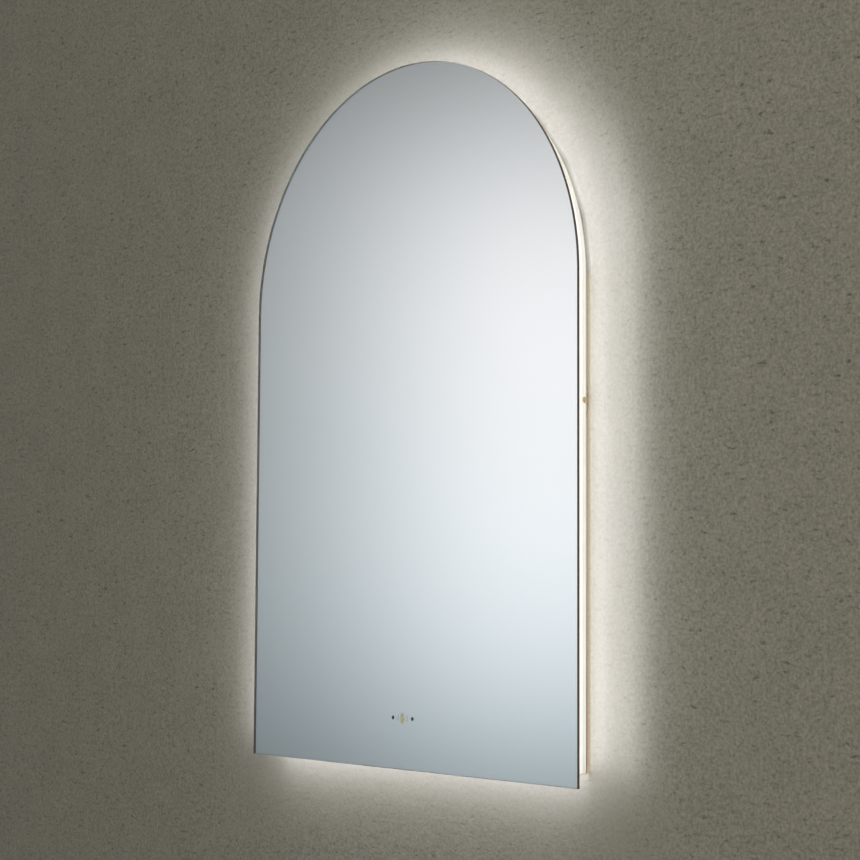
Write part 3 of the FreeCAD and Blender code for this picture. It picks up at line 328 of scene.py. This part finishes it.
def powder_coat(name, colour, roughness=0.42, rim=None):
    """Powder-coated metal: a fine orange-peel skin with a faint cloudiness. A rim is a painted shade
    on the frame's rear edge, the gap's shadow, given as its colour first at its top and then at its
    foot."""
    shader = Shader(name)
    peel = shader.noise(0.45 * MM, detail=2)
    cloud = shader.noise(60 * MM, detail=4)
    coat = shader.mottle(colour, size=35 * MM, spread=0.035, share=0.22)
    # The rim: painted shade on the frame's rear edge, darker and browner low down.
    if rim:
        place = shader.split(shader.place)
        frame_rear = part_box("frame_arch")[1].y
        foot = shader.span(place["Z"], 0, 1, *SHADE_RIM_HEIGHTS)
        rear = shader.span(place["Y"], 0, 1, *(frame_rear - reach for reach in SHADE_RIM_REACH))
        coat = shader.mix(rear, coat, shader.mix(foot, *rim))
    shader.finish(
        Base_Color=coat,
        Roughness=shader.follow(cloud, roughness - 0.06, roughness + 0.08),
        Normal=shader.bump(peel, depth=0.035 * MM, soft_edge=0.35 * MM),
        Coat_Weight=0.15, Coat_Roughness=0.25)
    return shader.material


def zinc_plate(name, colour):
    """Zinc-plated sheet steel: rolling lines, a faint spangle and dull patches."""
    shader = Shader(name)
    lines = shader.noise(9 * MM, detail=6, rough=0.7, place=shader.stretch((1, 60, 60)))
    patches = shader.noise(30 * MM, detail=5, rough=0.6)
    spangle = shader.add("RGBToBW", Color=shader.cells(7 * MM, "Color")).outputs[0]
    blend = shader.plus(shader.times(lines, 0.6), shader.times(spangle, 0.4))
    shader.finish(
        Base_Color=shader.mix(shader.span(blend, 0, 1, 0.25, 0.75), shade(colour, 0.80), colour),
        Metallic=1.0,
        Roughness=shader.follow(patches, 0.26, 0.46),
        Normal=shader.bump(lines, depth=0.02 * MM, soft_edge=0.3 * MM))
    return shader.material


def fastener_steel(name, colour):
    """Small zinc-plated fasteners: fine turning marks and a slight yellow cast in patches."""
    shader = Shader(name)
    marks = shader.noise(0.5 * MM)
    cast = shader.noise(3 * MM)
    yellowed = shade(colour, 1.0, 0.95, 0.82)
    shader.finish(
        Base_Color=shader.mix(shader.span(cast, 0, 1, 0.35, 0.7), colour, yellowed),
        Metallic=1.0,
        Roughness=shader.follow(marks, 0.24, 0.42),
        Normal=shader.bump(marks, depth=0.012 * MM, soft_edge=0.2 * MM))
    return shader.material


def turned_brass(name, colour):
    """Brass-plated screw heads: rings from turning about the side screws' axis, and tarnish."""
    shader = Shader(name)
    low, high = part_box("lock_screws")
    place = shader.split(shader.place)
    off_axis = shader.distance(shader.minus(place["Y"], (low.y + high.y) / 2), place["Z"])
    ring_pitch = 0.35 * MM
    wave = shader.apply("SINE", shader.times(off_axis, 2 * math.pi / ring_pitch))
    tarnish = shader.noise(2.2 * MM, detail=4)
    dull = shade(colour, 0.62, 0.58, 0.5)
    shader.finish(
        Base_Color=shader.mix(shader.span(tarnish, 0, 0.8, 0.4, 0.7), colour, dull),
        Metallic=1.0,
        Roughness=shader.follow(tarnish, 0.22, 0.4),
        Normal=shader.bump(shader.span(wave, 0, 1, -1, 1), depth=0.008 * MM, soft_edge=0.25 * MM))
    return shader.material


def glass_body(shader):
    """What both finishes of the glass have inside it: a green that grows with the glass's width."""
    body = shader.add("VolumeAbsorption", Color=GLASS_BODY, Density=GLASS_DENSITY)
    shader.feed(shader.output.inputs["Volume"], body.outputs[0])


def float_glass(name):
    """The clear faces of float glass."""
    shader = Shader(name)
    shader.finish(Base_Color=(0.99, 0.995, 0.99), Transmission_Weight=1.0, Roughness=0.0,
                  IOR=GLASS_INDEX)
    glass_body(shader)
    return shader.material


def polished_edge(name, colour, clear):
    """An edge of the glass: clear by the share given, and for the rest a painted reflection, the
    colour that it mirrors, with a polish that is a little hazy."""
    shader = Shader(name)
    haze = shader.noise(1.5 * MM, detail=4)
    shader.finish(
        Base_Color=shader.mottle(colour, size=4 * MM, spread=0.12),
        Roughness=shader.follow(haze, 0.05, 0.16),
        Transmission_Weight=clear, IOR=GLASS_INDEX)
    glass_body(shader)
    return shader.material


def silver_film(name, bright, paint):
    """A mirror from the glass's side. Its rear and its edges are a dark protective paint."""
    shader = Shader(name)
    facing = shader.split(shader.add("TexCoord").outputs["Normal"])
    front = shader.apply("LESS_THAN", facing["Y"], -0.5)
    speckle = shader.noise(1.4 * MM, detail=4)
    painted = shader.minus(1.0, front)
    shader.finish(
        Base_Color=shader.mix(front, shader.mottle(paint, size=25 * MM, spread=0.2, share=0.2), bright),
        Metallic=front,
        Roughness=shader.times(painted, shader.follow(speckle, 0.4, 0.6)))
    return shader.material


def band_level(shader):
    """The lit band's level, along DIFFUSER_LEVELS from its rear edge to the glass."""
    low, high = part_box("diffuser_arch")
    share = shader.span(shader.split(shader.place)["Y"], 0, 1, high.y, low.y)
    ramp = shader.add("FloatCurve", Value=share)
    curve = ramp.mapping.curves[0]
    top = max(level for _, level in DIFFUSER_LEVELS)
    points = [(at, level / top) for at, level in DIFFUSER_LEVELS]
    curve.points[0].location = points[0]
    curve.points[1].location = points[-1]
    for point in points[1:-1]:
        curve.points.new(*point)
    for point in curve.points:
        point.handle_type = "VECTOR"
    ramp.mapping.update()
    return shader.times(ramp.outputs[0], top)


def opal_diffuser(name, colour):
    """Opal plastic lit from inside, a little cloudy."""
    shader = Shader(name)
    cloud = shader.follow(shader.noise(40 * MM, detail=2), 0.97, 1.03)
    shader.finish(
        Base_Color=shader.mottle(colour, size=20 * MM, spread=0.02),
        Roughness=shader.follow(shader.noise(0.6 * MM), 0.32, 0.42),
        Normal=shader.bump(shader.noise(0.5 * MM), depth=0.01 * MM),
        Emission_Color=DIFFUSER_TINT,
        Emission_Strength=shader.times(band_level(shader), cloud))
    return shader.material


def emitter(name, colour, glow, strength):
    """A light emitter's phosphor, which glows."""
    shader = Shader(name)
    shader.finish(
        Base_Color=shader.mottle(colour, size=1.2 * MM, spread=0.1, share=0.2),
        Roughness=shader.follow(shader.noise(0.4 * MM), 0.25, 0.4),
        Emission_Color=glow,
        Emission_Strength=strength)
    return shader.material


def moulded(name, colour, roughness):
    """Moulded plastic with a fine spark-eroded grain and faint flow marks."""
    shader = Shader(name)
    skin = shader.noise(0.6 * MM)
    flow = shader.noise(18 * MM, place=shader.stretch((1, 3, 1)))
    shader.finish(
        Base_Color=shader.mottle(colour, size=12 * MM, spread=0.05),
        Roughness=shader.follow(flow, roughness - 0.07, roughness + 0.08),
        Normal=shader.bump(skin, depth=0.02 * MM, soft_edge=0.25 * MM))
    return shader.material


def soft_rubber(name, colour):
    """Black rubber: a dull, dusty skin with a fine pitted grain."""
    shader = Shader(name)
    dust = shader.noise(4 * MM, detail=6, rough=0.7)
    pits = shader.noise(0.4 * MM, detail=4)
    shader.finish(
        Base_Color=shader.mix(shader.span(dust, 0, 1, 0.45, 0.75), colour, shade(colour, 1.9)),
        Roughness=shader.follow(dust, 0.62, 0.85),
        Normal=shader.bump(pits, depth=0.03 * MM, soft_edge=0.4 * MM),
        Sheen_Weight=0.1, Sheen_Roughness=0.5)
    return shader.material


def foam(name, colour):
    """Closed-cell foam tape: small open cells on its cut edge."""
    shader = Shader(name)
    cell = shader.cells(0.35 * MM)
    shader.finish(
        Base_Color=shader.mix(shader.span(cell, 0, 1, 0.1, 0.6), colour, shade(colour, 0.5)),
        Roughness=0.85,
        Normal=shader.bump(cell, depth=0.06 * MM))
    return shader.material


def heating_film(name, colour, foil):
    """A heating foil: amber film over tracks of foil that run across it."""
    shader = Shader(name)
    height = shader.split(shader.place)["Z"]
    wave = shader.apply("SINE", shader.times(height, 2 * math.pi / TRACK_PITCH))
    track = shader.apply("GREATER_THAN", wave, TRACK_GAP)
    shader.finish(
        Base_Color=shader.mix(track, colour, foil),
        Metallic=shader.times(track, 0.7),
        Roughness=shader.follow(shader.noise(8 * MM), 0.22, 0.38),
        Normal=shader.bump(shader.span(wave, 0, 1, 0.0, 0.3), depth=0.03 * MM),
        Coat_Weight=0.6, Coat_Roughness=0.15)
    return shader.material


def circuit_board(name, colour, gilt, tinned):
    """White solder mask between bare pads, some gilt and some tinned."""
    shader = Shader(name)
    upright = shader.stretch((PADS_PER_METRE,) * 3, turn=(math.pi / 2, 0, 0))
    pads = shader.add("TexBrick", Vector=upright, Color1=gilt, Color2=tinned, Mortar=colour,
                      Mortar_Size=0.32, Scale=1.0)
    shader.finish(
        Base_Color=pads.outputs["Color"],
        Roughness=shader.span(pads.outputs["Fac"], 0.3, 0.5),
        Normal=shader.bump(pads.outputs["Fac"], depth=0.02 * MM),
        Coat_Weight=0.3, Coat_Roughness=0.2)
    return shader.material


def mill_aluminium(name, colour):
    """Mill-finish aluminium with the fine lines of its extrusion."""
    shader = Shader(name)
    lines = shader.noise(4 * MM, detail=6, rough=0.7, place=shader.stretch((1, 40, 40)))
    shader.finish(
        Base_Color=shader.mix(lines, shade(colour, 0.85), colour),
        Metallic=1.0,
        Roughness=shader.follow(lines, 0.28, 0.45),
        Normal=shader.bump(lines, depth=0.02 * MM, soft_edge=0.2 * MM))
    return shader.material


def infrared_window(name, colour):
    """Black plastic over the infrared parts, which reflects little."""
    shader = Shader(name)
    shader.finish(
        Base_Color=shader.mottle(colour, size=2 * MM, spread=0.2),
        Roughness=shader.follow(shader.noise(0.8 * MM), 0.06, 0.14),
        Specular_IOR_Level=0.1)
    return shader.material


def printed_legend(name, hand, strokes):
    """The switch's print, faintly lit: a hand between two strokes, each of its own colour."""
    shader = Shader(name)
    off_middle = shader.apply("ABSOLUTE", shader.split(shader.place)["X"])
    on_stroke = shader.apply("GREATER_THAN", off_middle, STROKE_SIDE)
    grain = shader.follow(shader.noise(0.35 * MM, detail=2), *PRINT_TONES)
    tone = shader.scaled(shader.mix(on_stroke, hand, strokes), grain)
    shader.finish(
        Base_Color=tone,
        Roughness=shader.span(grain, 0.45, 0.6, *PRINT_TONES),
        Emission_Color=tone,
        Emission_Strength=0.35)
    return shader.material


def sheathed_lead(name, colour):
    """A soft white sheath with faint scuffs."""
    shader = Shader(name)
    scuff = shader.noise(6 * MM, detail=6, rough=0.7)
    shader.finish(
        Base_Color=shader.mottle(colour, size=8 * MM, spread=0.06, share=0.2),
        Roughness=shader.follow(scuff, 0.38, 0.6),
        Normal=shader.bump(shader.noise(0.7 * MM), depth=0.02 * MM),
        Subsurface_Weight=0.05, Subsurface_Radius=(1 * MM, 1 * MM, 1 * MM))
    return shader.material


def make_finishes():
    """One finish for each material slot of the record, on every node that carries the slot."""
    finishes = {
        "silvering": silver_film("Silvering", bright=(0.93, 0.945, 0.94), paint=(0.03, 0.026, 0.022)),
        "amber_legend": printed_legend("OliveLegend", hand=(0.62, 0.56, 0.28),
                                       strokes=(0.20, 0.20, 0.22)),
        "dark_window": infrared_window("InfraredWindow", (0.012, 0.012, 0.015)),
        "foam_tape": foam("FoamTape", (0.05, 0.05, 0.05)),
        "heating_foil": heating_film("HeatingFilm", (0.48, 0.27, 0.09), foil=(0.78, 0.70, 0.58)),
        "black_plastic": moulded("BlackPlastic", (0.025, 0.025, 0.027), roughness=0.48),
        "circuit_board": circuit_board("CircuitBoard", (0.72, 0.72, 0.67), gilt=(0.82, 0.71, 0.45),
                                       tinned=(0.75, 0.76, 0.74)),
        "opal_plastic": opal_diffuser("OpalPlastic", (0.88, 0.87, 0.84)),
        "light_emitter": emitter("LightEmitter", (0.9, 0.78, 0.3), glow=(1.0, 0.93, 0.8),
                                 strength=2.0),
        # The frame paint's rim colours are painted shade: the gap's shadow on the frame's rear edge.
        "frame_paint": powder_coat("FramePaint", (0.86, 0.85, 0.785),
                                   rim=((0.47, 0.39, 0.28), (0.23, 0.12, 0.045))),
        "bare_aluminium": mill_aluminium("MillAluminium", (0.80, 0.81, 0.82)),
        "cover_steel": powder_coat("CoverPaint", (0.50, 0.50, 0.485), roughness=0.5),
        "zinc_steel": zinc_plate("ZincSteel", (0.66, 0.67, 0.68)),
        "fastener_steel": fastener_steel("FastenerSteel", (0.64, 0.64, 0.645)),
        "lock_brass": turned_brass("LockBrass", (0.98, 0.80, 0.55)),
        "rubber": soft_rubber("SoftRubber", (0.022, 0.022, 0.022)),
        "white_plastic": moulded("WhitePlastic", (0.78, 0.78, 0.75), roughness=0.45),
        "lead_sheath": sheathed_lead("LeadSheath", (0.76, 0.76, 0.73)),
    }
    for name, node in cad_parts.items():
        if name == "mirror_glass":
            continue
        for slot in node.material_slots:
            slot.material = finishes[slot.material.name.split(".")[0]]


# ---------------------------------------------------------------- the glass sheet

def mesh_object(name, shape, *materials):
    """A new object from a bmesh, with its materials in the order of the faces' numbers."""
    mesh = bpy.data.meshes.new(name)
    shape.to_mesh(mesh)
    shape.free()
    for material in materials:
        mesh.materials.append(material)
    made = bpy.data.objects.new(name, mesh)
    scene.collection.objects.link(made)
    return made


def arch_loop(half, bottom, spring, steps):
    """The points (across, up) of an arch, anticlockwise from its lower right corner."""
    turns = (math.pi * step / steps for step in range(steps + 1))
    points = [(half, bottom)]
    points += [(half * math.cos(turn), spring + half * math.sin(turn)) for turn in turns]
    points.append((-half, bottom))
    return points


def glass_shape():
    """The sheet's bmesh: a front and a rear face, and the front arris, edge and rear arris between
    their loops. The edge and the front arris have face number 1, the rear arris 2."""
    low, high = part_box("mirror_glass")
    half = high.x
    spring = low.z + GLASS_HEIGHT - half
    layers = [(GLASS_ARRIS, low.y), (0, low.y + GLASS_ARRIS), (0, high.y - GLASS_ARRIS),
              (GLASS_ARRIS, high.y - SILVER_GAP)]
    shape = bmesh.new()
    loops = []
    for inset, deep in layers:
        points = arch_loop(half - inset, low.z + inset, spring, GLASS_STEPS)
        loops.append([shape.verts.new((across, deep, up)) for across, up in points])
    shape.faces.new(loops[0])
    shape.faces.new(reversed(loops[-1]))
    for finish, first, second in zip((1, 1, 2), loops, loops[1:]):
        for this in range(len(first)):
            after = (this + 1) % len(first)
            rim = shape.faces.new([first[after], first[this], second[this], second[after]])
            rim.material_index = finish
    bmesh.ops.recalc_face_normals(shape, faces=shape.faces)
    return shape


def make_glass():
    """The glass sheet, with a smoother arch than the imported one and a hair's gap to its silver,
    so that light meets the two one after the other."""
    shape = glass_shape()
    for face in shape.faces:
        face.smooth = True
    for edge in shape.edges:
        edge.smooth = edge.calc_face_angle() < GLASS_CREASE
    sheet = mesh_object("GlassSheet", shape, float_glass("ClearGlass"),
                        # The browns of the edge and the rear arris are painted reflections of what the
                        # glass edge mirrors.
                        polished_edge("PolishedEdge", (0.07, 0.043, 0.019), clear=0.15),
                        polished_edge("RearArris", (0.10, 0.06, 0.03), clear=0.0))
    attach(sheet, "mirror_unit")
    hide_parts("mirror_glass")


# ---------------------------------------------------------------- wall, floor, world

def off_outline(shader, half, bottom, spring):
    """How far a place is outside an arch's outline, seen from the front."""
    place = shader.split(shader.place)
    rise = shader.apply("MAXIMUM", shader.minus(place["Z"], spring), 0.0)
    beside = shader.minus(shader.distance(place["X"], rise), half)
    below = shader.minus(bottom, place["Z"])
    return shader.apply("MAXIMUM", beside, below)


def see_through_rear(shader, surface):
    """Let the surface be seen through from behind."""
    both = shader.add("MixShader")
    shader.feed(both.inputs[0], shader.add("NewGeometry").outputs["Backfacing"])
    shader.feed(both.inputs[1], surface.outputs[0])
    shader.feed(both.inputs[2], shader.add("BsdfTransparent").outputs[0])
    shader.feed(shader.output.inputs["Surface"], both.outputs[0])


def wall_material():
    """Olive-grey plaster, rough and scored, and rubbed smoother round the mirror. From behind, the
    camera looks through it at the mirror's rear."""
    shader = Shader("Plaster")
    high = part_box("frame_arch")[1]
    off = off_outline(shader, high.x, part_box("frame_base")[0].z, high.z - high.x)
    rubbed = shader.span(off, WALL_SMOOTHEST, 1, *WALL_SMOOTH_REACH)
    rough = shader.noise(WALL_RELIEF_SIZE, detail=8, rough=0.62)
    grain = shader.noise(WALL_GRAIN_SIZE, detail=4, rough=0.7)
    clumps = shader.noise(WALL_CLUMP_SIZE, detail=2)
    cloud = shader.noise(WALL_CLOUD_SIZE, detail=2)
    score_noise = shader.noise(WALL_SCORE_SIZE, detail=5, rough=0.6,
                               place=shader.stretch(WALL_SCORE_STRETCH))
    scores = shader.span(score_noise, 0, 1, *WALL_SCORE_SPAN)

    shares = ((grain, WALL_GRAIN), (clumps, WALL_CLUMPS), (cloud, WALL_CLOUD))
    varied = shader.plus(*(shader.times(shader.minus(noise, 0.5), share) for noise, share in shares))
    varied = shader.minus(varied, shader.times(scores, WALL_SCORES))
    tone = shader.plus(shader.times(varied, rubbed), 1.0)
    height = shader.plus(rough, shader.times(grain, WALL_GRAIN_RELIEF))
    height = shader.minus(height, shader.times(scores, WALL_SCORE_RELIEF))
    surface = shader.finish(
        Base_Color=shader.scaled(WALL_COLOUR, tone),
        Roughness=0.9,
        Normal=shader.bump(shader.times(height, rubbed), depth=WALL_RELIEF))
    see_through_rear(shader, surface)
    return shader.material


def wall_opening():
    """The outline (across, up) of the wall's opening: an arch within the frame's, with a notch on
    each side behind the end of the bracket's lower rail."""
    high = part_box("frame_arch")[1]
    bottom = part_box("frame_base")[0].z + WALL_HOLE_INSET + WALL_HOLE_LIFT
    outline = arch_loop(high.x - WALL_HOLE_INSET, bottom, high.z - high.x, WALL_HOLE_STEPS)
    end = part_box("wall_bracket")[1].x
    upper = [(end - inside, rise) for inside, rise in WALL_NOTCH]
    notch = [(across, -up) for across, up in upper] + upper[::-1]
    outline[1:1] = notch
    outline[-1:-1] = [(-across, up) for across, up in notch[::-1]]
    return outline


def make_wall():
    """The wall, with an opening that the mirror hides, so that light reaches the mirror's rear."""
    corners = [(WALL_REACH, FLOOR_HEIGHT), (WALL_REACH, WALL_REACH),
               (-WALL_REACH, WALL_REACH), (-WALL_REACH, FLOOR_HEIGHT)]
    shape = bmesh.new()
    edges = []
    for loop in (wall_opening(), corners):
        made = [shape.verts.new((across, WALL_STANDOFF, up)) for across, up in loop]
        edges += [shape.edges.new(pair) for pair in zip(made, made[1:] + made[:1])]
    bmesh.ops.triangle_fill(shape, use_beauty=True, edges=edges)
    shape.normal_update()
    for face in shape.faces:
        if face.normal.y > 0:
            face.normal_flip()
    mesh_object("Wall", shape, wall_material())


def make_floor():
    """A plain pale floor, well below the mirror, which doesn't reflect it."""
    shader = Shader("Floor")
    seen = shader.add("LightPath").outputs["Is Camera Ray"]
    shader.finish(
        Base_Color=shader.mottle(FLOOR_COLOUR, size=400 * MM, spread=0.03, share=0.2),
        Roughness=0.6,
        Emission_Color=FLOOR_COLOUR,
        Emission_Strength=shader.times(seen, FLOOR_GLOW))
    shape = bmesh.new()
    corners = [(-WALL_REACH, WALL_STANDOFF), (-WALL_REACH, -WALL_REACH),
               (WALL_REACH, -WALL_REACH), (WALL_REACH, WALL_STANDOFF)]
    shape.faces.new([shape.verts.new((across, deep, FLOOR_HEIGHT)) for across, deep in corners])
    floor = mesh_object("Floor", shape, shader.material)
    floor.visible_glossy = False
    floor.visible_transmission = False


def panel_light(nodes, azimuth, elevation):
    """How much of a panel's light comes from a direction: 1 at the middle of each panel."""
    turn = nodes.times(nodes.minus(azimuth, math.radians(PANEL_AZIMUTH)), 360 / PANEL_STEP)
    crest = nodes.minus(nodes.apply("COSINE", turn), 1.0)
    side = nodes.apply("EXPONENT", nodes.times(crest, PANEL_SHARPNESS))
    off = nodes.apply("DIVIDE", nodes.minus(elevation, math.radians(PANEL_ELEVATION)),
                      math.radians(PANEL_HALF_HEIGHT))
    fall = nodes.apply("POWER", nodes.apply("ABSOLUTE", off), PANEL_FALL)
    return nodes.times(side, nodes.apply("EXPONENT", nodes.times(fall, -1.0)))


def room_light(nodes, height):
    """The light of the rest of the room: dim walls, a lighter ceiling and a lighter floor."""
    walls = nodes.plus(nodes.times(nodes.times(height, height), ROOM_LIFT), ROOM_LIGHT)
    below = nodes.times(nodes.plus(height, ROOM_FLOOR_START), -ROOM_FLOOR_RISE)
    below = nodes.apply("MINIMUM", nodes.apply("MAXIMUM", below, 0.0), 1.0)
    return nodes.plus(walls, nodes.times(below, ROOM_FLOOR))


def make_world():
    """Even light all round. A mirror sees tall soft panels in it instead, and the camera a plain
    pale grey."""
    world = bpy.data.worlds.new("Studio")
    scene.world = world
    world.use_nodes = True
    nodes = Nodes(world.node_tree)
    x, y, z = nodes.split(nodes.add("TexCoord").outputs["Generated"])
    azimuth = nodes.apply("ARCTAN2", x, nodes.times(y, -1.0))
    elevation = nodes.apply("ARCSINE", z)
    light = nodes.plus(panel_light(nodes, azimuth, elevation), room_light(nodes, z))
    rise = nodes.times(elevation, 1 / math.radians(TINT_STEP))
    tint = nodes.apply("ADD", TINT_DIM, nodes.scaled(TINT_GAIN, light), kind="VectorMath")
    tint = nodes.apply("ADD", tint, nodes.scaled(TINT_RISE, rise), kind="VectorMath")
    reflected = nodes.scaled(tint, light)
    path = nodes.add("LightPath").outputs
    plain = nodes.mix(path["Is Camera Ray"], (WORLD_LEVEL,) * 3, WORLD_BACKGROUND)
    mirrored = nodes.apply("MAXIMUM", path["Is Glossy Ray"], path["Is Transmission Ray"])
    background = nodes.add("Background", Color=nodes.mix(mirrored, plain, reflected))
    nodes.add("OutputWorld", Surface=background.outputs[0])


# ---------------------------------------------------------------- lamps, camera

def area_lamp(name, power, **settings):
    """A lamp that is seen only by what it lights: neither camera nor mirror shows it."""
    light = bpy.data.lights.new(name, "AREA")
    light.energy = power
    for setting, value in settings.items():
        setattr(light, setting, value)
    lamp = bpy.data.objects.new(name, light)
    lamp.visible_glossy = False
    lamp.visible_transmission = False
    lamp.visible_camera = False
    scene.collection.objects.link(lamp)
    return lamp


def room_lamp(name, place, size, power):
    """A soft square lamp that faces the mirror."""
    lamp = area_lamp(name, power, size=size)
    lamp.location = place
    lamp.rotation_euler = (-Vector(place)).to_track_quat("-Z", "Y").to_euler()


def band_lamp(name, edge, out, reach, depth, length, width, power, tint=GLOW_TINT,
              spread=math.pi, facing=(0, 1, 0)):
    """A thin lamp along the lit band, which rides on the mirror and faces the wall unless another
    way is given. It is out from the band's edge by its reach, and at its depth."""
    lamp = area_lamp(name, power * length, shape="RECTANGLE", size=length, size_y=width,
                     color=tuple(part / max(tint) for part in tint), spread=spread)
    along = Vector((-out.z, 0, out.x))
    back = -Vector(facing)
    lamp.matrix_world = (Matrix.Translation(edge + out * reach - Vector((0, depth, 0)))
                         @ Matrix((along, back.cross(along), back)).transposed().to_4x4())
    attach(lamp, "mirror_unit")


def band_runs():
    """The lit band's two sides, its bottom and the arcs of its arch. Each is the middle of its edge,
    the angle that it faces, its length, its lamps' shares and whether it is curved."""
    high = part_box("diffuser_arch")[1]
    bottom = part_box("diffuser_base")[0].z
    half = high.x
    spring = high.z - half
    side = spring - bottom
    half_way = (spring + bottom) / 2
    yield Vector((half, 0, half_way)), 0.0, side, GLOW_SIDE, False
    yield Vector((-half, 0, half_way)), math.pi, side, GLOW_SIDE, False
    yield Vector((0, 0, bottom)), -math.pi / 2, 2 * half, GLOW_BOTTOM, False
    for step in range(GLOW_ARCS):
        turn = math.pi * (step + 0.5) / GLOW_ARCS
        edge = Vector((half * math.cos(turn), 0, spring + half * math.sin(turn)))
        grown = min(1, math.sin(turn) / GLOW_ARCH_START)
        shares = [1 + (share - 1) * grown for share in GLOW_ARCH]
        yield edge, turn, math.pi * half / GLOW_ARCS, shares, True


def make_glow():
    """The glow round the mirror, from lamps along the lit band."""
    for number, (edge, turn, length, shares, curved) in enumerate(band_runs()):
        out = Vector((math.cos(turn), 0, math.sin(turn)))
        for ring, (shallow, deep, power) in enumerate(GLOW_RINGS):
            band_lamp(f"Glow{ring}_{number}", edge, out, GLOW_STANDOFF, (shallow + deep) / 2, length,
                      deep - shallow, power * shares[ring], facing=out)
        band_lamp(f"Gap{number}", edge, out, GAP_REACH, GAP_DEPTH, length, GAP_WIDTH,
                  GAP_POWER * shares[-1], tint=GLOW_TINT if curved else GAP_TINT)
        share = abs(out.x) ** SPILL_FALL * (SPILL_LEFT if out.x < 0 else 1)
        if share > SPILL_LEAST:
            if curved:
                length += math.pi * SPILL_REACH / GLOW_ARCS
            band_lamp(f"Spill{number}", edge, out, SPILL_REACH, SPILL_DEPTH, length, SPILL_WIDTH,
                      SPILL_POWER * share, spread=SPILL_SPREAD)


def make_camera():
    """The photograph's camera."""
    data = bpy.data.cameras.new("Camera")
    data.lens = CAMERA_LENS
    data.sensor_width = SENSOR_WIDTH
    camera = bpy.data.objects.new("Camera", data)
    yaw = Matrix.Rotation(math.radians(CAMERA_YAW), 4, "Z")
    pitch = Matrix.Rotation(math.radians(90 + CAMERA_PITCH), 4, "X")
    roll = Matrix.Rotation(math.radians(CAMERA_ROLL), 4, "Z")
    camera.matrix_world = Matrix.Translation(CAMERA_PLACE) @ yaw @ pitch @ roll
    scene.collection.objects.link(camera)
    scene.camera = camera


scene.view_settings.view_transform = "Standard"
make_camera()
make_finishes()
make_glass()
make_wall()
make_floor()
make_world()
room_lamp("KeyLamp", KEY_PLACE, KEY_SIZE, KEY_POWER)
room_lamp("RearLamp", REAR_PLACE, REAR_SIZE, REAR_POWER)
make_glow()
